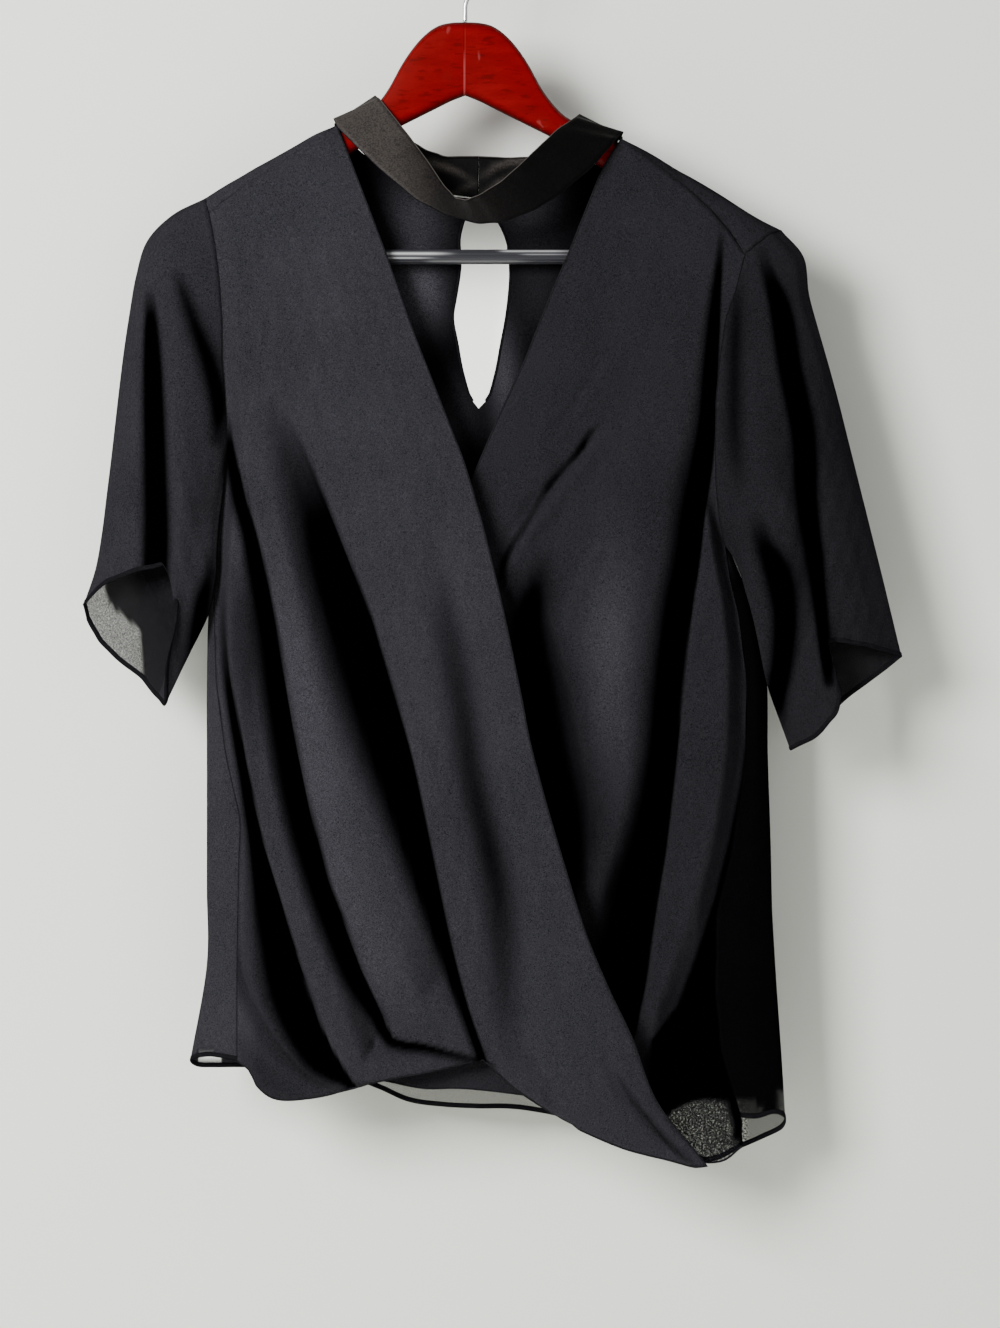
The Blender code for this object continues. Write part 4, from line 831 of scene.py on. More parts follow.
def band_grid():
    """Neck band: rows of points from its sewn edge up to its top, from slit to slit."""
    right = [tuple(n) + tuple(t) for n, t in zip(NECK_R[:0:-1], BAND_BACK_TOP_R)]
    left = [tuple(n) + tuple(t) for n, t in zip(NECK_L[:0:-1], BAND_BACK_TOP_L)]
    ring = np.asarray(right + list(BAND_FRONT) + left[::-1], dtype=float)
    bottom, top = ring[:, :3], ring[:, 3:]
    bottom = bottom + 2.0 * SEAM_INSET * unit(top - bottom)
    return np.stack([halve(bottom + (top - bottom) * k / 3.0) for k in range(4)])


def grid_faces(rows, columns, closed=False, flip=False):
    """Four-sided faces of a grid of points numbered row by row."""
    r, c = np.meshgrid(
        np.arange(rows - 1), np.arange(columns if closed else columns - 1), indexing="ij"
    )
    a = r * columns + c
    b = r * columns + (c + 1) % columns
    quads = np.stack([a, b, b + columns, a + columns], axis=-1).reshape(-1, 4)
    return quads[:, ::-1] if flip else quads


def capped(rings):
    """Points and faces of a tube of rings with both ends closed."""
    count, sides = rings.shape[:2]
    faces = grid_faces(count, sides, closed=True).tolist()
    faces.append(list(range(sides)))
    faces.append(list(range(sides * (count - 1), sides * count))[::-1])
    return rings.reshape(-1, 3), faces


def unit(vectors):
    """The same directions with length one."""
    return vectors / np.maximum(np.linalg.norm(vectors, axis=-1, keepdims=True), 1e-9)


def place(name, shape, finish, nodes=(), fields=None, wall=0.0):
    """Put a piece into the scene: shape is its points in millimetres and its faces.

    fields are numbers kept on the points, and wall gives a sheet its thickness.
    """
    points, faces = shape
    mesh = bpy.data.meshes.new(name)
    mesh.from_pydata((np.asarray(points, dtype=float) * MM).tolist(), [], [list(f) for f in faces])
    for field, values in (fields or {}).items():
        layer = mesh.attributes.new(field, "FLOAT", "POINT")
        layer.data.foreach_set("value", np.ascontiguousarray(values, dtype=np.float32).ravel())
    mesh.polygons.foreach_set("use_smooth", [True] * len(mesh.polygons))
    mesh.update()
    mesh.materials.append(finish)
    piece = bpy.data.objects.new(name, mesh)
    bpy.context.scene.collection.objects.link(piece)
    if wall:
        shell = piece.modifiers.new("cloth thickness", "SOLIDIFY")
        shell.thickness = wall
        shell.offset = 0.0
    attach(piece, "root")
    if nodes:
        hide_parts(*nodes)
    return piece


def oval_line(points, across, width, thick, sides=8, closed=False):
    """An oval section carried along a line: width along the given direction, thick square to it.

    Each ring is the point plus across times half the width times the cosine, plus the normal
    times half the thickness times the sine.
    """
    points = np.asarray(points, dtype=float)
    if closed:
        ahead = unit(np.roll(points, -1, axis=0) - np.roll(points, 1, axis=0))
    else:
        ahead = unit(np.gradient(points, axis=0))
    across = unit(across - ahead * np.sum(across * ahead, axis=-1, keepdims=True))
    third = np.cross(ahead, across)
    turn = np.linspace(0.0, 2 * np.pi, sides, endpoint=False)
    width = np.broadcast_to(width, len(points))[:, None, None]
    thick = np.broadcast_to(thick, len(points))[:, None, None]
    rings = (
        points[:, None]
        + 0.5 * width * np.cos(turn)[None, :, None] * across[:, None]
        + 0.5 * thick * np.sin(turn)[None, :, None] * third[:, None]
    )
    if closed:
        quads = grid_faces(len(points) + 1, sides, closed=True) % (len(points) * sides)
        return rings.reshape(-1, 3), quads.tolist()
    return capped(rings)


def wire(line, step, radius, sides):
    """A round wire along the smooth curve of a line, whose rows are x, z, y."""
    line = curve(line, step)[:, [0, 2, 1]]
    across = np.array([0.0, 1.0, 0.0]) + 0.0 * line
    return oval_line(line, across, 2 * radius, 2 * radius, sides)


def together(*parts):
    """Several sets of points and faces as one."""
    points, faces, start = [], [], 0
    for some_points, some_faces in parts:
        points.append(np.asarray(some_points))
        faces.extend([[v + start for v in face] for face in some_faces])
        start += len(some_points)
    return np.concatenate(points), faces


def hem_line(edge, inner, settings, closed=False):
    """A narrow rolled hem: an oval section along an edge, lying just inside it."""
    inward = unit(inner - edge)
    width = settings.hem_width / MM
    return oval_line(edge + 0.4 * width * inward, inward, width, settings.hem_roll / MM, 8, closed)


def seam_line(line, inner):
    """A seam: a slight oval ridge along the line where two panels meet."""
    return oval_line(line, unit(inner - line), 0.9, 0.8, 6)


def turned_edge(edge, inner, inset, width, thick, sides=8):
    """An edge turned once: an oval section set a little way in from the edge."""
    return oval_line(edge + inset * unit(inner - edge), inner - edge, width, thick, sides)


def crease_height(line, x, z):
    """A fine crease: raised on one side of its line and sunk on the other."""
    away, height, half = beside(line, x, z)
    return height * (away / half) * np.exp(0.5 - 0.5 * (away / half) ** 2)


def waves(x, z, seed):
    """Faint unevenness of hanging cloth: a few long waves that run mostly downwards."""
    total = np.zeros(np.shape(x))
    for k in range(5):
        lean = np.sin(seed + 2.1 * k) * 0.35
        pitch = 23.0 + 13.0 * np.cos(seed * 1.7 + k)
        total += np.sin((x + lean * z) * 2 * np.pi / pitch + seed * (k + 1)) / (2.0 + k)
        total += 0.5 * np.sin((z + lean * x) * 2 * np.pi / (61.0 + 17.0 * k) + seed * k) / (2.0 + k)
    return total


def left_of(line, x, z):
    """Darkness beside a fold: full at its line, fading to the left, with a short step at right."""
    away, dark, reach = beside(line, x, z)
    left = 1.0 - smooth(-away / reach, 0.5, 1.45)
    return dark * left * (1.0 - smooth(away, -0.8, 1.6))


def join_dark(*parts):
    """Darkness of several shades together: each is widened a little, none is lit by another."""
    lit = np.ones(np.shape(parts[0]))
    for part in parts:
        lit = lit * (1.0 - np.clip(1.3 * part, 0.0, 1.0))
    return 1.0 - lit


def drop_to(grid, low):
    """Draw the lowest rows of a grid down or up to the smooth line of its hem: x, z."""
    level = np.linspace(0.0, 1.0, len(grid))[:, None]
    along_hem = hermite(np.arange(len(low)), low, np.linspace(0, len(low) - 1, 300))
    wanted = np.interp(grid[-1, :, 0], along_hem[:, 0], along_hem[:, 1])
    grid[..., 2] += (wanted - grid[-1, :, 2])[None, :] * level**10


def front_sheet(coarse, low_rows, low, depth_at, creases, seed, seam_at, soft, calm_from, lip):
    """Fine grid of a front: the panel's outline refined, its depth worked out anew.

    The depth gets the creases and faint waves, and the waves fade out towards the free edge.
    """
    last = len(coarse) - 1
    row_at = np.concatenate([
        np.linspace(0, ARMHOLE_ROWS, 91)[:-1], np.linspace(ARMHOLE_ROWS, last, low_rows)])
    column_at = np.linspace(0, coarse.shape[1] - 1, 5 * (coarse.shape[1] - 1) + 1)
    grid = refine(coarse, row_at, column_at, straight=True)
    drop_to(grid, np.asarray(low, dtype=float))
    x, z = grid[..., 0], grid[..., 2]
    depth = depth_at(x, z, lip) - sum(crease_height(line, x, z) for line in creases)
    free = grid[:, [-1 - seam_at], 0]
    away = (free - x) * (-1.0 if seam_at else 1.0)
    calm = smooth(away, -1.0, 20.0) * smooth(-z, calm_from, 260.0)
    fade_in(grid, grid[:, [seam_at]], depth - WAVE_HEIGHT * waves(x, z, seed) * calm, seam_at, soft)
    return grid


def over_sheet(lip):
    """Fine grid of the right front, and how dark its shaded parts are."""
    grid = front_sheet(over_panel_grid(LIP), 175, OVER_HEM, over_depth, CREASES_OVER, 1.3, 0, 12.0,
                       140.0, lip)
    x, z = grid[..., 0], grid[..., 2]
    dark = join_dark(
        *[left_of(line, x, z) for line in (SHADE_0, SHADE_1, SHADE_2, SHADE_3)],
        *[along(line, x, z) for line in (SHADE_4, SHADE_ROLL, SHADE_FIRST, SHADE_LOBE)],
    )
    return grid, dark - along(LIGHT_OVER, x, z) * (1.0 - dark)


def under_sheet(lip):
    """Fine grid of the left front, and how dark its shaded parts are."""
    grid = front_sheet(under_panel_grid(LIP), 165, UNDER_HEM, under_depth, CREASES_UNDER, 4.1, -1,
                       14.0, 150.0, lip)
    x, z = grid[..., 0], grid[..., 2]
    past = x - down_table(FOLD_6_RIGHT, 0, 1, z)
    side = smooth(past, -2.0, 4.0) * smooth(-z, 440.0, 500.0)
    dark = join_dark(
        along(SHADE_5, x, z), left_of(SHADE_6, x, z), left_of(SHADE_DIAGONAL, x, z), side)
    return grid, dark - along(LIGHT_UNDER, x, z) * (1.0 - dark)


def back_sheet():
    """Fine grids of the back's two halves, with the keyhole's edge drawn smooth."""
    out = []
    for arm, side, shoulder, neck, hem, column in (
        (ARM_BACK_R, SIDE_R, SHOULDER_R, NECK_R, HEM_BACK_R, 1),
        (ARM_BACK_L, SIDE_L, SHOULDER_L, NECK_L, HEM_BACK_L, 2),
    ):
        coarse = back_half_grid(arm, side, shoulder, neck, hem, column)
        row_at = np.linspace(0, len(coarse) - 1, 9 * (len(coarse) - 1) + 1)
        column_at = np.linspace(0, coarse.shape[1] - 1, 7 * (coarse.shape[1] - 1) + 1)
        grid = refine(coarse, row_at, column_at)
        key = np.asarray(KEYHOLE, dtype=float)
        z_in = grid[:, -1, 2]
        smooth_x = hermite(-key[:, 0], key[:, column], np.clip(-z_in, 178.0, 320.0))
        smooth_x = np.where(z_in < -320.0, KEYHOLE_X, smooth_x)
        pull = np.linspace(0.0, 1.0, grid.shape[1]) ** 6
        down = smooth(-z_in, 177.0, 181.0)
        grid[..., 0] += ((smooth_x - grid[:, -1, 0]) * down)[:, None] * pull[None, :]
        out.append(grid)
    return out


def sleeve_sheet(parts, seed):
    """Fine closed rings of one sleeve, with faint waves pressed into front and back."""
    coarse = sleeve_grid(*parts, 13)
    row_at = np.linspace(0, 12, 85)
    column_at = np.arange(0, coarse.shape[1], 0.2)
    grid = refine(coarse, row_at, column_at, closed=True)
    x, z = grid[..., 0], grid[..., 2]
    t = np.linspace(0.0, 1.0, len(row_at))[:, None]
    facing = np.clip(-grid[..., 1] / 10.0, -1.0, 1.0)
    grid[..., 1] -= 0.45 * waves(x, z, seed) * facing * smooth(t, 0.1, 0.5)
    return grid


def on_values(operation, turned=False):
    """A method that adds a Math node on itself and another value; turned swaps the two."""
    def method(self, other):
        values = (other, self) if turned else (self, other)
        return self.math(operation, *values)
    return method


class Signal:
    """A socket of a material; arithmetic on it adds the Math nodes that work it out."""

    def __init__(self, finish, socket):
        self.finish = finish
        self.socket = socket

    def math(self, operation, *values):
        made = self.finish.node("ShaderNodeMath", {"operation": operation}, dict(enumerate(values)))
        return Signal(self.finish, made.outputs[0])

    __add__, __radd__ = on_values("ADD"), on_values("ADD", True)
    __sub__, __rsub__ = on_values("SUBTRACT"), on_values("SUBTRACT", True)
    __mul__, __rmul__ = on_values("MULTIPLY"), on_values("MULTIPLY", True)
    __truediv__, __rtruediv__ = on_values("DIVIDE"), on_values("DIVIDE", True)
    __pow__, __rpow__ = on_values("POWER"), on_values("POWER", True)

    def __abs__(self):
        return self.math("ABSOLUTE", self)

    def clamp(self):
        return self.math("MINIMUM", self.math("MAXIMUM", self, 0.0), 1.0)

    def step(self, low, high):
        """0 below low, 1 above high, with a soft step between."""
        made = self.finish.node(
            "ShaderNodeMapRange",
            {"interpolation_type": "SMOOTHSTEP"},
            {"Value": self, "From Min": low, "From Max": high, "To Min": 0.0, "To Max": 1.0},
        )
        return Signal(self.finish, made.outputs["Result"])


class Finish:
    """A material with a Principled shader and the nodes that feed it."""

    def __init__(self, name):
        self.material = bpy.data.materials.new(name)
        self.material.use_nodes = True
        self.tree = self.material.node_tree
        self.shader = self.tree.nodes["Principled BSDF"]
        self.place = self.node("ShaderNodeTexCoord").outputs["Object"]

    def feed(self, socket, value):
        """Give a socket a link from a signal or another socket, or else a value."""
        source = value.socket if isinstance(value, Signal) else value
        if isinstance(source, bpy.types.NodeSocket):
            self.tree.links.new(source, socket)
        else:
            socket.default_value = source

    def node(self, kind, settings=None, inputs=None):
        """Add a node: its settings first, then the values or links of its sockets."""
        made = self.tree.nodes.new(kind)
        for key, value in (settings or {}).items():
            setattr(made, key, value)
        for key, value in (inputs or {}).items():
            self.feed(made.inputs[key], value)
        return made

    def set(self, **values):
        """Give the shader's own sockets a value or a link; underscores stand for spaces."""
        for key, value in values.items():
            self.feed(self.shader.inputs[key.replace("_", " ")], value)

    def field(self, name):
        """A number kept on the piece's points."""
        made = self.node("ShaderNodeAttribute", {"attribute_name": name})
        return Signal(self, made.outputs["Fac"])

    def noise(self, scale, detail=2.0, stretch=(1, 1, 1), rough=0.5):
        """Noise on Object coordinates, from 0 to 1, stretched by the given scale of each axis."""
        where = self.node("ShaderNodeMapping", {}, {"Vector": self.place, "Scale": stretch})
        made = self.node(
            "ShaderNodeTexNoise",
            {},
            {"Vector": where.outputs[0], "Scale": scale, "Detail": detail, "Roughness": rough},
        )
        return Signal(self, made.outputs["Fac"])

    def axis(self, name):
        """One Object coordinate, in metres."""
        made = self.node("ShaderNodeSeparateXYZ", {}, {"Vector": self.place})
        return Signal(self, made.outputs[name])

    def blend(self, share, first, second):
        """A colour between two colours."""
        made = self.node("ShaderNodeMix", {"data_type": "RGBA"}, {0: share, 6: first, 7: second})
        return made.outputs[2]

    def bump(self, height, distance, strength=1.0):
        """A Bump node's normal."""
        made = self.node(
            "ShaderNodeBump", {}, {"Height": height, "Distance": distance, "Strength": strength}
        )
        return made.outputs["Normal"]


def rgba(colour, times=1.0):
    """A colour with full opacity, its parts multiplied by times."""
    return tuple(times * part for part in colour) + (1.0,)


def crepe(name, settings, lit=1.0, inside=False):
    """Sheer crepe: dark in the shaded troughs, grainy, and see-through where sheer is above 0.

    With inside set, dark shades the faces that look to the front and rear those that look back.
    """
    finish = Finish(name)
    dark = finish.field("dark")
    if inside:
        facing = finish.node("ShaderNodeNewGeometry").outputs["True Normal"]
        parts = finish.node("ShaderNodeSeparateXYZ", {}, {"Vector": facing})
        behind = Signal(finish, parts.outputs["Y"]).step(0.0, 0.3)
        dark = dark * (1.0 - behind) + finish.field("rear") * behind
    sheer = finish.field("sheer")
    grain = finish.noise(1.0 / settings.grain, 2.0)
    fine = finish.noise(2.6 / settings.grain, 1.0)
    cloudy = finish.noise(16.0, 3.0)
    speck = (grain - 0.5) * 1.4 + (fine - 0.5) * 2.6
    light = (1.0 - dark) * (0.72 + 0.5 * cloudy + speck) / HEADROOM
    # lit scales the whole piece's lit colour: painted shade on pieces that get less light
    top = rgba(settings.cloth_lit, HEADROOM * lit)
    moire = finish.field("moire")
    finish.set(
        Base_Color=finish.blend(light.clamp(), rgba(settings.cloth_shaded), top),
        Roughness=0.9,
        Specular_IOR_Level=0.0,
        Alpha=(1.0 - sheer * (0.6 + 0.3 * (fine - 0.5) + moire * (grain - 0.5) * 2.4)).clamp(),
        Normal=finish.bump(grain + 0.5 * fine, 0.0003, 0.5),
    )
    return finish.material


def rolled_cloth(name, settings, lit=0.6):
    """Cloth of hems and seams: the same crepe folded on itself, so that it isn't sheer."""
    finish = Finish(name)
    grain = finish.noise(1.0 / settings.grain, 2.0)
    finish.set(
        Base_Color=finish.blend(
            grain, rgba(settings.cloth_shaded), rgba(settings.cloth_lit, lit)),
        Roughness=0.9,
        Specular_IOR_Level=0.0,
        Normal=finish.bump(grain, 0.0003, 0.4),
    )
    return finish.material


class BlouseSettings(bpy.types.PropertyGroup):
    """Colours and sizes of the blouse's cloth."""

    cloth_lit: bpy.props.FloatVectorProperty(
        name="Cloth on the folds", description="Colour of the crepe where light falls on it",
        subtype="COLOR", size=3, min=0.0, max=1.0, default=(0.0202, 0.0196, 0.0232))
    # the crepe's colour in full painted shade, towards which the shade fields darken it
    cloth_shaded: bpy.props.FloatVectorProperty(
        name="Cloth in the troughs", description="Colour of the crepe deep between two folds",
        subtype="COLOR", size=3, min=0.0, max=1.0, default=(0.0002, 0.0002, 0.0003))
    band_colour: bpy.props.FloatVectorProperty(
        name="Neck band", description="Colour of the doubled neck band",
        subtype="COLOR", size=3, min=0.0, max=1.0, default=(0.039, 0.034, 0.031))
    cloth_wall: bpy.props.FloatProperty(
        name="Cloth thickness", description="Thickness of one layer of crepe",
        unit="LENGTH", min=0.0002, max=0.001, default=0.0004)
    hem_width: bpy.props.FloatProperty(
        name="Hem width", description="Width of the rolled hems",
        unit="LENGTH", min=0.001, max=0.01, default=0.0034)
    hem_roll: bpy.props.FloatProperty(
        name="Hem thickness", description="Thickness of the rolled hems",
        unit="LENGTH", min=0.0006, max=0.003, default=0.0013)
    grain: bpy.props.FloatProperty(
        name="Grain", description="Size of the crepe's grain",
        unit="LENGTH", min=0.0003, max=0.005, default=0.0011)
    lip: bpy.props.FloatProperty(
        name="Fold edge", description="Width over which a draped fold rises",
        unit="LENGTH", min=0.002, max=0.006, default=0.0032)


class HangerSettings(bpy.types.PropertyGroup):
    """Colours and sizes of the hanger."""

    wood_colour: bpy.props.FloatVectorProperty(
        name="Wood", description="Colour of the stained wood",
        subtype="COLOR", size=3, min=0.0, max=1.0, default=(0.158, 0.0013, 0.0022))
    bar_colour: bpy.props.FloatVectorProperty(
        name="Bar", description="Colour of the ribbed bar",
        subtype="COLOR", size=3, min=0.0, max=1.0, default=(0.022, 0.022, 0.026))
    ribs: bpy.props.IntProperty(
        name="Ribs", description="Number of ribs round the bar", min=6, max=40, default=14)
    rib_depth: bpy.props.FloatProperty(
        name="Rib depth", description="Depth of the grooves between the ribs",
        unit="LENGTH", min=0.0, max=0.001, default=0.0004)


class StageSettings(bpy.types.PropertyGroup):
    """The wall, the floor, the light and the camera."""

    wall_colour: bpy.props.FloatVectorProperty(
        name="Wall and floor", description="Colour of the pale surroundings",
        subtype="COLOR", size=3, min=0.0, max=1.0, default=(0.84, 0.848, 0.79))
    wall_gap: bpy.props.FloatProperty(
        name="Wall distance", description="Distance of the wall behind the hanger",
        unit="LENGTH", min=0.03, max=0.5, default=0.075)
    key_power: bpy.props.FloatProperty(
        name="Key light", description="Power of the large light at the upper left, in watts",
        min=0.0, default=124.0)
    fill_power: bpy.props.FloatProperty(
        name="Fill light", description="Power of the light beside the camera, in watts",
        min=0.0, default=12.0)
    glow_power: bpy.props.FloatProperty(
        name="Light behind", description="Power of the light on the wall behind the keyhole",
        min=0.0, default=0.25)


class BLOUSE_OT_fronts(bpy.types.Operator):
    """Build the two crossed fronts with their folds, creases and rolled edges"""

    bl_idname = "blouse.fronts"
    bl_label = "Crossed fronts"

    def execute(self, context):
        settings = context.scene.blouse
        lip = settings.lip / MM
        turned = rolled_cloth("turned edge of the fronts", settings, 0.95)
        grid, dark = over_sheet(lip)
        self.front("right", grid, 0, 0.74, crepe("crepe of the right front", settings), turned,
                   turned, ["front_right_over"], "over_cloth",
                   {"dark": dark, "sheer": 0.0 * dark, "moire": 0.0 * dark})

        grid, dark = under_sheet(lip)
        x, z = grid[..., 0], grid[..., 2]
        top = np.interp(x, [row[0] for row in PATCH_TOP], [row[1] for row in PATCH_TOP])
        # the lower right corner is a single layer, bounded by the back's slanting side edge
        right_of = x - 174.0 + 0.28 * (z + 786.0)
        patch = smooth(-z - top, -1.0, 1.5) * (1.0 - smooth(right_of, -1.0, 1.5))
        # painted shade: the lower right of this front is made fully dark, less so in the
        # single-layer patch
        low = smooth(-z, 740.0, 760.0) * smooth(x, 110.0, 130.0)
        dark = (dark + (1.0 - dark) * low) * (1.0 - 0.6 * patch)
        self.front("left", grid, -1, 0.72, crepe("crepe of the left front", settings, 0.66), turned,
                   rolled_cloth("turned seam of the left front", settings, 0.12),
                   ["front_left_under"], "under_cloth",
                   {"dark": dark, "sheer": 0.9 * patch, "moire": patch})
        return {"FINISHED"}

    def front(self, side, grid, seam_at, length, cloth, turned, sewn, nodes, slot, fields):
        """Place one front with its turned free edge and its side seam."""
        wall = bpy.context.scene.blouse.cloth_wall
        shape = grid.reshape(-1, 3), grid_faces(*grid.shape[:2], flip=True)
        piece = place(side + "_front", shape, cloth, nodes, fields, wall)
        out = grid if seam_at else grid[:, ::-1]
        edge = np.concatenate([out[:, 0], out[-1, 1:]])
        inner = np.concatenate([out[:, 1], out[-2, 1:]])
        hem = place(side + "_front_edge", turned_edge(edge, inner, 0.5, 1.4, 0.9), turned)
        seam = place(side + "_front_seam", seam_line(out[:, -1], out[:, -3]), sewn)


class BLOUSE_OT_back(bpy.types.Operator):
    """Build the back with its side folds, keyhole and longer hem"""

    bl_idname = "blouse.back"
    bl_label = "Back"

    def execute(self, context):
        settings = context.scene.blouse
        right, left = back_sheet()
        rows, columns = right.shape[:2]
        grid = np.concatenate([right, left[:, ::-1]], axis=1)
        # the halves share their points where they meet, and stay apart along the keyhole
        faces = grid_faces(rows, 2 * columns)
        faces = faces[faces[:, 0] % (2 * columns) != columns - 1]
        meet = np.linalg.norm(grid[:, columns - 1] - grid[:, columns], axis=1) < 0.3
        merged = np.arange(rows * 2 * columns).reshape(rows, -1)
        merged[meet, columns] = merged[meet, columns - 1]
        faces = merged.ravel()[faces]
        used, faces = np.unique(faces, return_inverse=True)
        faces = faces.reshape(-1, 4)
        x, y, z = grid[..., 0], grid[..., 1], grid[..., 2]
        # sheer parts: the hem strip below the fronts, the left corner and the right vent's flare
        band = smooth(-z, 758.0, 768.0) * smooth(x, -112.0, -100.0) * (1.0 - smooth(x, 90.0, 110.0))
        corner = smooth(-z, 776.0, 782.0) * smooth(x, 128.0, 142.0)
        ahead = smooth(-y, 1.0, 5.0)
        rear = 0.6 * sum(along(line, x, z) for line in BACK_SHADES)
        grid[..., 1] -= 6.0 * rear * smooth(y, 3.0, 9.0)
        above = -z - 785.6 - 0.65 * np.maximum(x - 193.0, 0.0)
        single = 0.7 * smooth(above, -1.0, 1.0) * (1.0 - smooth(x, 199.0, 203.0))
        corner = corner * (1.0 - ahead) + single * ahead
        flare = ((x + 173.5) / 9.5) ** 2 + ((z + 760.0) / 3.4) ** 2
        sheer = np.maximum(np.maximum(1.2 * band, 0.9 * corner), 1.5 * (flare < 1.0))
        moire = corner * (1.0 - smooth(x, 188.0, 194.0))
        # shade: inside the neckline but for its lights, the left side fold, the left shoulder
        dark = 0.95 * smooth(x, -95.0, -80.0) * (1.0 - smooth(x, 98.0, 112.0))
        for x_at, z_at, half_x, half_z, strength in NECK_LIGHTS:
            away = ((x - x_at) / half_x) ** 2 + ((z - z_at) / half_z) ** 2
            dark = dark - strength * np.exp(-away)
        dark = dark * (1.0 - 0.7 * smooth(-z, 745.0, 770.0))
        dark = dark + (0.93 - dark) * smooth(x, 150.0, 170.0) * smooth(-z, 400.0, 440.0)
        dark = dark + 0.4 * smooth(x, 100.0, 112.0) * smooth(z, -260.0, -240.0)
        fields = {"dark": dark, "sheer": sheer, "moire": moire, "rear": rear}
        piece = place("back_panel", (grid.reshape(-1, 3)[used], faces),
                      crepe("crepe of the back", settings, 1.0, True), ["back"],
                      {name: values.ravel()[used] for name, values in fields.items()},
                      settings.cloth_wall)
        rolled = rolled_cloth("rolled crepe of the back", settings)
        hem = place("back_hem", hem_line(np.delete(grid[-1], columns, axis=0),
                                         np.delete(grid[-2], columns, axis=0), settings), rolled)
        key = place("keyhole_edge", together(*[
            turned_edge(grid[~meet, inner], grid[~meet, beyond], 0.6, 2.2, 1.0, 6)
            for inner, beyond in ((columns - 1, columns - 3), (columns, columns + 2))]), rolled)
        return {"FINISHED"}


class BLOUSE_OT_sleeves(bpy.types.Operator):
    """Build the two set-in sleeves with their rolled hems and armhole seams"""

    bl_idname = "blouse.sleeves"
    bl_label = "Sleeves"

    def execute(self, context):
        settings = context.scene.blouse
        rolled = rolled_cloth("rolled crepe of the sleeves", settings)
        for side, parts, seed in (
            ("right", (ARM_FRONT_R, ARM_BACK_R, SLEEVE_OUT_R, SLEEVE_IN_R, SLEEVE_HEM_FRONT_R,
                       SLEEVE_HEM_BACK_R, SLEEVE_FOLDS_R), 2.2),
            ("left", (ARM_FRONT_L, ARM_BACK_L, SLEEVE_OUT_L, SLEEVE_IN_L, SLEEVE_HEM_FRONT_L,
                      SLEEVE_HEM_BACK_L, SLEEVE_FOLDS_L), 5.3),
        ):
            grid = sleeve_sheet(parts, seed)
            x, y, z = grid[..., 0], grid[..., 1], grid[..., 2]
            rows, columns = x.shape
            behind = smooth(y, 0.0, 3.0)
            t = np.linspace(0.0, 1.0, rows)[:, None]
            # inside is the shade of the far layer, seen through the sleeve's open hem
            if side == "right":
                dark = join_dark(along(SHADE_SLEEVE_R, x, z, 4), along(SHADE_SLEEVE_R2, x, z),
                                 along(SHADE_SLEEVE_R3, x, z))
                limit = down_table(INSIDE_HEM_R, 0, 1, z)
                lone = smooth(limit - x, -1.0, 2.0)
                inside = np.maximum(0.55 * (1.0 - lone), np.exp(-(((x - limit) / 1.5) ** 2)))
                sheer = 0.52 * lone + 0.12
                lit = 0.8
            else:
                dark = join_dark(along(SHADE_SLEEVE_L, x, z, 4), along(SHADE_SLEEVE_L2, x, z),
                                 along(SHADE_SLEEVE_L3, x, z, 3))
                inside = 0.3 + 0.5 * smooth(z, -492.0, -480.0)
                sheer = 0.14
                lit = 0.5
            dark = 1.0 - lit * (1.0 - dark * (1.0 - behind) - inside * behind)
            sheer = sheer * behind * smooth(t, 0.72, 0.86)
            rear = 0.5 * (0.5 + 0.5 * waves(x, z, seed + 1.0)) * smooth(t, 0.1, 0.5)
            faces = grid_faces(rows, columns, closed=True, flip=side == "right")
            piece = place(side + "_sleeve", (grid.reshape(-1, 3), faces),
                          crepe("crepe of the " + side + " sleeve", settings, 1.0, True),
                          ["sleeve_" + side],
                          {"dark": dark, "sheer": sheer, "moire": 0.6 * sheer, "rear": rear},
                          settings.cloth_wall)
            hem = place(side + "_sleeve_hem",
                        hem_line(grid[-1], grid[-2], settings, closed=True), rolled)
            sewn = oval_line(grid[0], unit(grid[1] - grid[0]), 1.0, 0.9, 6, closed=True)
            seam = place(side + "_armhole_seam", sewn, rolled)
        return {"FINISHED"}


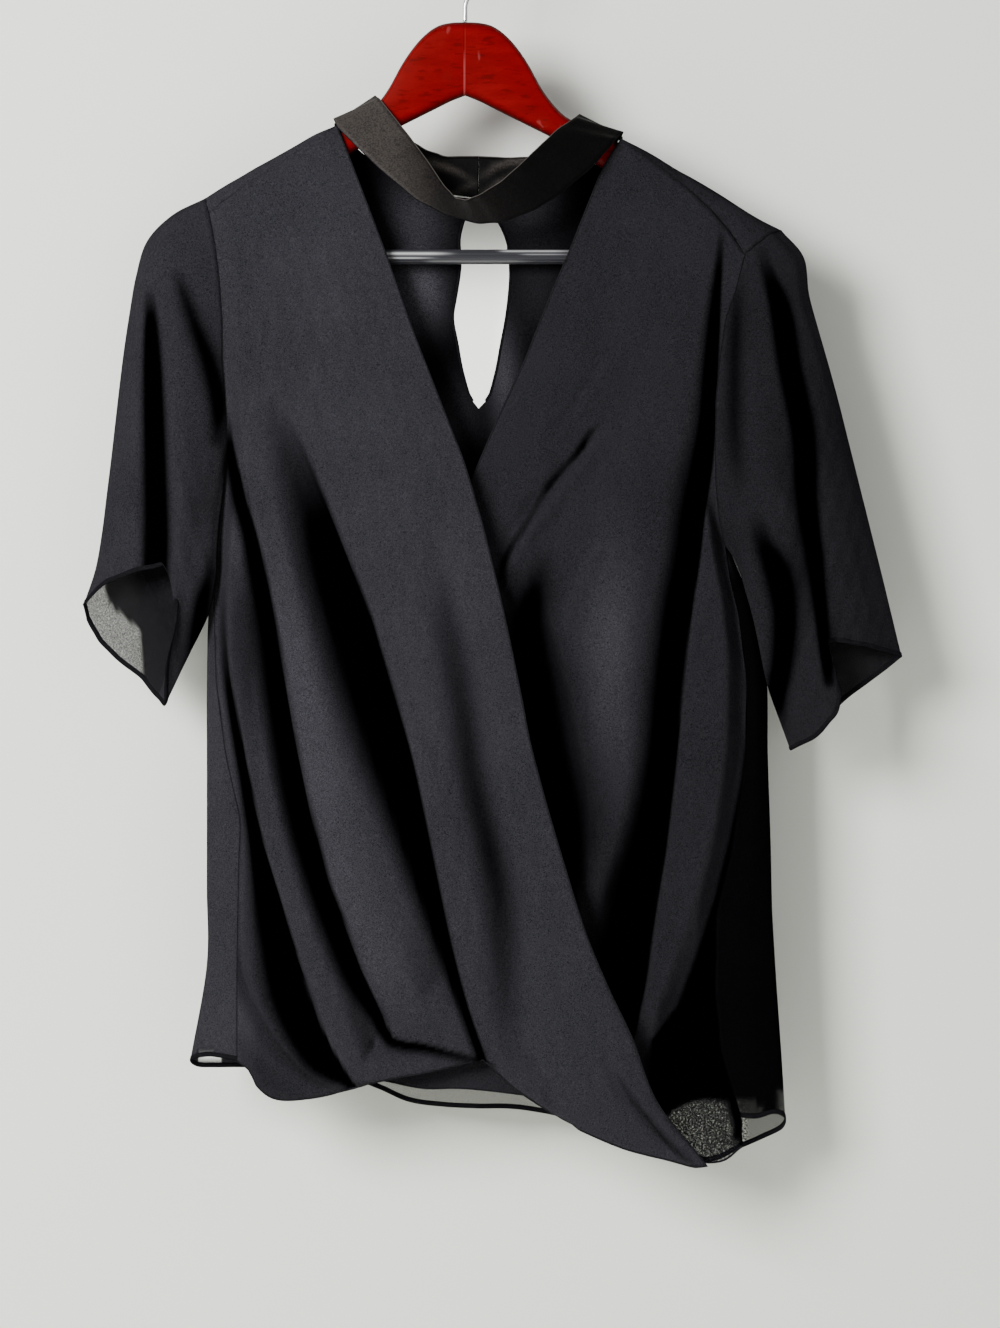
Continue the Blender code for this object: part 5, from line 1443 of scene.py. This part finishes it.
class BLOUSE_OT_neck_band(bpy.types.Operator):
    """Build the doubled neck band with its top edge and the gathers at the back"""

    bl_idname = "blouse.neck_band"
    bl_label = "Neck band"

    def execute(self, context):
        settings = context.scene.blouse
        coarse = band_grid()
        row_at = np.linspace(0, len(coarse) - 1, 13)
        column_at = np.linspace(0, coarse.shape[1] - 1, 7 * (coarse.shape[1] - 1) + 1)
        grid = refine(coarse, row_at, column_at)
        s = lengths(grid[6])
        to_slit = np.minimum(s, s[-1] - s)
        back = smooth(grid[..., 1], 2.0, 12.0)
        x, z = grid[..., 0].copy(), grid[..., 2].copy()
        streak = sum(along(line, x, z) for line in BAND_STREAKS)
        grid[..., 1] -= 0.9 * streak * back * smooth(to_slit, 0.0, 5.0)
        # painted shade: the band's front darkens towards the viewer's right, its back is nearly
        # black but for painted sheen
        front = 0.2 + 0.7 * smooth(x, -60.0, -5.0) + 0.06 * smooth(x, 0.0, 50.0)
        dark = front * (1.0 - back) + (0.97 - 0.85 * streak) * back
        slit_x = KEYHOLE_X - 0.04 * np.sign(KEYHOLE_X - x)
        grid[..., 0] += (slit_x - x) * np.exp(-((to_slit / 3.0) ** 2)) * back
        finish = Finish("doubled band cloth")
        grain = finish.noise(1.0 / settings.grain, 2.0)
        cloudy = finish.noise(55.0, 3.0)
        shade = finish.field("dark")
        light = ((1.0 - shade) * (0.6 + 0.8 * cloudy + (grain - 0.5) * 2.4)).clamp()
        finish.set(
            Base_Color=finish.blend(light, rgba(settings.cloth_shaded), rgba(settings.band_colour)),
            Roughness=0.5,
            Specular_IOR_Level=0.04,
            Normal=finish.bump(grain + cloudy * 3.0, 0.0004, 0.5),
        )
        band = place("neck_band_cloth", (grid.reshape(-1, 3), grid_faces(*grid.shape[:2])),
                     finish.material, ["neck_band"], {"dark": dark},
                     3 * settings.cloth_wall)
        edge_finish = Finish("turned edge of the band")
        edge_finish.set(
            Base_Color=rgba(settings.band_colour, 1.3), Roughness=0.6, Specular_IOR_Level=0.1)
        edge = place("band_top_edge", turned_edge(grid[-1], grid[-2], 0.1, 0.9, 1.5),
                     edge_finish.material)
        seam = place("band_seam", oval_line(grid[0], grid[1] - grid[0], 0.9, 1.2, 6),
                     rolled_cloth("rolled crepe of the band", settings))
        return {"FINISHED"}


def round_section(profile, centre, sides):
    """A round piece about the Y axis: each ring has a radius and a y, and the ends are closed."""
    turn = np.linspace(0.0, 2 * np.pi, sides, endpoint=False)
    profile = np.asarray(profile, dtype=float)
    rings = np.stack([
        centre[0] + profile[:, :1] * np.cos(turn)[None, :],
        centre[1] + profile[:, 1:] + 0.0 * turn[None, :],
        centre[2] + profile[:, :1] * np.sin(turn)[None, :],
    ], axis=-1)
    return capped(rings)


class BLOUSE_OT_fastening(bpy.types.Operator):
    """Build the two small buttons and their thread loops at the back of the band"""

    bl_idname = "blouse.fastening"
    bl_label = "Buttons and loops"

    def execute(self, context):
        gloss = Finish("polished button")
        gloss.set(Base_Color=CLOTH_BLACK, Roughness=0.12, Coat_Weight=0.6)
        thread = Finish("loop thread")
        twist = thread.noise(2600.0, 1.0)
        thread.set(Base_Color=CLOTH_BLACK, Roughness=0.6, Normal=thread.bump(twist, 0.0002, 0.6))
        profile = hermite(np.arange(len(BUTTON_PROFILE)), BUTTON_PROFILE,
                          np.linspace(0, len(BUTTON_PROFILE) - 1, 31))
        for word, z in (("top", BUTTON_TOP_Z), ("low", BUTTON_LOW_Z)):
            place("button_" + word, round_section(profile, (BUTTON_X, 0.0, z), 40), gloss.material,
                  ["neck_button_" + word])
            line = [(x, z + across, LOOP_Y) for x, across in LOOP_LINE]
            place("thread_loop_" + word, wire(line, 0.5, LOOP_WIRE_RADIUS, 10), thread.material,
                  ["button_loop_" + word])
        return {"FINISHED"}


def wood_rings(sides=14):
    """The hanger's wood: upright slices, straight at the sides, round at top and underside."""
    table = np.asarray(WOOD, dtype=float)
    tip = 200 - 10 * np.linspace(1, 0, 14)[1:] ** 1.6
    x_right = np.concatenate([np.linspace(0, 190, 120), tip])
    edges = hermite(table[:, 0], table[:, 1:], x_right)
    x = np.concatenate([-x_right[:0:-1], x_right])[:, None]
    top, under = np.concatenate([edges[:0:-1], edges]).T[:, :, None]
    taper = np.clip(1 - (np.maximum(np.abs(x) - 195.0, 0) / 5.2) ** 2, 0.04, 1)
    half = WOOD_HALF * np.sqrt(taper)
    turn = np.radians(np.linspace(0, 180, sides))[None, :]
    round_by = np.minimum(half, 0.45 * (top - under))
    y = -half * np.cos(turn)
    rise = round_by - round_by * np.sin(turn)
    upper = np.stack(np.broadcast_arrays(x, y, top - rise), axis=-1)
    lower = np.stack(np.broadcast_arrays(x, -y, under + rise), axis=-1)
    return np.concatenate([upper, lower], axis=1)


class BLOUSE_OT_hanger(bpy.types.Operator):
    """Build the wooden hanger with its ribbed bar and wire hook"""

    bl_idname = "blouse.hanger"
    bl_label = "Hanger"

    def execute(self, context):
        settings = context.scene.hanger
        wood = Finish("red stained wood")
        grain = wood.noise(38.0, 4.0, (1.0, 5.0, 4.0), 0.6)
        pores = wood.noise(420.0, 2.0, (0.22, 1.0, 1.0))
        wear_and_highlight = wood.noise(90.0, 3.0, (1.0, 1.0, 0.6))
        scratch = wood.noise(300.0, 1.0, (0.5, 1.0, 0.12)).step(0.66, 0.70)
        glue = 1.0 - abs(wood.axis("X") + 0.0005).step(0.0003, 0.0009)
        tone = (0.25 + 0.9 * grain - 0.35 * pores.step(0.58, 0.68)).clamp()
        base = wood.blend(tone, rgba(settings.wood_colour, 0.34), rgba(settings.wood_colour))
        light = tuple(min(1.0, 1.5 * c + 0.05) for c in settings.wood_colour)
        base = wood.blend((scratch * wear_and_highlight.step(0.5, 0.62) * 0.3).clamp(), base, rgba(light))
        # painted shade: the rounded top and underside of the wood are darkened almost to black
        base = wood.blend(wood.field("rim_shade") ** 3.0 * 0.85, base, rgba((0.006, 0.001, 0.001)))
        low = 1.0 - wood.axis("Z").step(-0.092, -0.078)
        base = wood.blend(glue * low * 0.5, base, rgba(light))
        wood.set(
            Base_Color=base,
            Roughness=(0.34 + 0.2 * wear_and_highlight).clamp(),
            Specular_IOR_Level=0.03,
            Coat_Weight=(0.1 * wear_and_highlight.step(0.55, 0.8)).clamp(),
            Coat_Roughness=0.25,
            Normal=wood.bump(grain + 0.4 * pores - glue, 0.0002, 0.5),
        )
        rings = wood_rings()
        # painted shade of the rounded top and underside: 1 along their crests, 0 on the flat sides
        rim_shade = np.tile(np.sin(np.linspace(0.0, np.pi, rings.shape[1] // 2)), 2)
        place("hanger_wood_arms", capped(rings), wood.material, ["hanger_wood"],
              {"rim_shade": rim_shade + 0.0 * rings[..., 0]})

        bar = Finish("ribbed bar")
        # painted highlights: the bar is blended towards bright metal grey along its streaks
        bar.set(
            Base_Color=bar.blend(
                (bar.field("wear_and_highlight") * 0.6).clamp(), rgba(settings.bar_colour), BRIGHT_METAL_AND_HIGHLIGHT),
            Roughness=0.4,
            Specular_IOR_Level=0.15,
        )
        turn = np.linspace(0, 2 * np.pi, 6 * settings.ribs, endpoint=False)
        radius = BAR_RADIUS - settings.rib_depth / MM * (0.5 - 0.5 * np.cos(settings.ribs * turn))
        x = np.linspace(-BAR_HALF_LENGTH, BAR_HALF_LENGTH, 173)
        # painted highlights: streaks along the bar where it would catch the lights, 0 to 1 on its
        # points
        wear_and_highlight = np.zeros((len(x), len(turn)))
        above = np.degrees(np.arctan2(np.sin(turn), -np.cos(turn)))[None, :]
        for angle, first, end, half, strength in BAR_HIGHLIGHTS:
            span = smooth(x, first, first + 10.0) * (1.0 - smooth(x, end - 22.0, end))
            wear_and_highlight += strength * span[:, None] * np.exp(-(((above - angle) / half) ** 2))
        rings = np.stack(np.broadcast_arrays(
            x[:, None], (radius * np.cos(turn))[None, :], BAR_Z + (radius * np.sin(turn))[None, :]),
            axis=-1)
        place("hanger_bar_ribbed", capped(rings), bar.material, ["hanger_bar"],
              {"wear_and_highlight": wear_and_highlight})

        steel = Finish("plated wire")
        steel.set(Base_Color=BRIGHT_METAL_AND_HIGHLIGHT, Roughness=0.2, Metallic=1.0)
        line = [(x, z, 0.0) for x, z in HOOK_LINE]
        place("hanger_hook_wire", wire(line, 1.0, HOOK_WIRE_RADIUS, 24), steel.material,
              ["hanger_hook"])
        return {"FINISHED"}


def panel(name, corners, finish):
    """A flat four-cornered surface of the stage."""
    mesh = bpy.data.meshes.new(name)
    mesh.from_pydata(corners, [], [(0, 1, 2, 3)])
    mesh.materials.append(finish)
    piece = bpy.data.objects.new(name, mesh)
    bpy.context.scene.collection.objects.link(piece)


def soft_light(name, power, size, place_at, aim):
    """A square soft light at a place, turned to a point."""
    lamp = bpy.data.lights.new(name, "AREA")
    lamp.energy = power
    lamp.size = size
    item = bpy.data.objects.new(name, lamp)
    bpy.context.scene.collection.objects.link(item)
    item.location = place_at
    away = np.asarray(place_at) - np.asarray(aim)
    item.rotation_euler = (
        np.arctan2(np.hypot(away[0], away[1]), away[2]), 0.0, np.arctan2(away[0], -away[1]))
    return item


class BLOUSE_OT_stage(bpy.types.Operator):
    """Build the pale wall and floor, the soft light and the camera"""

    bl_idname = "blouse.stage"
    bl_label = "Stage, light and camera"

    def execute(self, context):
        settings = context.scene.stage
        pale = Finish("pale paint")
        mottled = pale.noise(2.2, 3.0)
        paint = pale.blend(mottled, rgba(settings.wall_colour, 0.94), rgba(settings.wall_colour))
        pale.set(Base_Color=paint, Roughness=0.9)
        clear = pale.node("ShaderNodeBsdfTransparent")
        side = pale.node("ShaderNodeNewGeometry")
        mixed = pale.node("ShaderNodeMixShader", {}, {
            0: side.outputs["Backfacing"], 1: pale.shader.outputs[0], 2: clear.outputs[0]})
        pale.tree.links.new(mixed.outputs[0], pale.tree.nodes["Material Output"].inputs["Surface"])
        gap = settings.wall_gap
        low, high, side_x, front_y = FLOOR_Z, 2.5, 4, -5
        panel("wall", [(-side_x, gap, low), (side_x, gap, low), (side_x, gap, high),
                       (-side_x, gap, high)], pale.material)
        panel("floor", [(-side_x, front_y, low), (side_x, front_y, low), (side_x, gap, low),
                        (-side_x, gap, low)], pale.material)
        soft_light("key light", settings.key_power, 1.0, (-1.3, -2.0, 0.25), MIDDLE)
        soft_light("fill light", settings.fill_power, 1.6, (1.4, -2.4, -0.2), MIDDLE)
        glow = soft_light("light behind the keyhole", settings.glow_power, 0.16,
                          (0.015, gap - 0.03, -0.30), (0.015, 1.0, -0.30))
        glow.visible_camera = False
        world = bpy.data.worlds.new("pale room")
        world.use_nodes = True
        background = world.node_tree.nodes["Background"]
        background.inputs["Color"].default_value = (0.95, 0.97, 1.0, 1.0)
        background.inputs["Strength"].default_value = 0.2
        context.scene.world = world
        lens = bpy.data.cameras.new("camera")
        lens.lens = SENSOR * (CAMERA_FAR - FRAME_DEPTH) / FRAME_HEIGHT
        item = bpy.data.objects.new("camera", lens)
        item.location = (0.0235, -CAMERA_FAR, -0.4931)
        item.rotation_euler = (np.pi / 2, 0.0, 0.0)
        bpy.context.scene.collection.objects.link(item)
        context.scene.camera = item
        return {"FINISHED"}


class BLOUSE_PT_sidebar(bpy.types.Panel):
    """Buttons for each group of pieces"""

    bl_label = "Blouse"
    bl_idname = "BLOUSE_PT_sidebar"
    bl_space_type = "VIEW_3D"
    bl_region_type = "UI"
    bl_category = "Blouse"

    def draw(self, context):
        for group in ("blouse", "hanger", "stage"):
            settings = getattr(context.scene, group)
            box = self.layout.box()
            for key in settings.__annotations__:
                box.prop(settings, key)
        for operator in OPERATORS:
            self.layout.operator(operator.bl_idname)


OPERATORS = (
    BLOUSE_OT_fronts,
    BLOUSE_OT_back,
    BLOUSE_OT_sleeves,
    BLOUSE_OT_neck_band,
    BLOUSE_OT_fastening,
    BLOUSE_OT_hanger,
    BLOUSE_OT_stage,
)
CLASSES = (BlouseSettings, HangerSettings, StageSettings) + OPERATORS + (BLOUSE_PT_sidebar,)


def register():
    for item in CLASSES:
        bpy.utils.register_class(item)
    bpy.types.Scene.blouse = bpy.props.PointerProperty(type=BlouseSettings)
    bpy.types.Scene.hanger = bpy.props.PointerProperty(type=HangerSettings)
    bpy.types.Scene.stage = bpy.props.PointerProperty(type=StageSettings)


def unregister():
    del bpy.types.Scene.stage
    del bpy.types.Scene.hanger
    del bpy.types.Scene.blouse
    for item in reversed(CLASSES):
        bpy.utils.unregister_class(item)


def main():
    register()
    bpy.ops.blouse.hanger()
    bpy.ops.blouse.fronts()
    bpy.ops.blouse.back()
    bpy.ops.blouse.sleeves()
    bpy.ops.blouse.neck_band()
    bpy.ops.blouse.fastening()
    bpy.ops.blouse.stage()


if __name__ == "__main__":
    main()
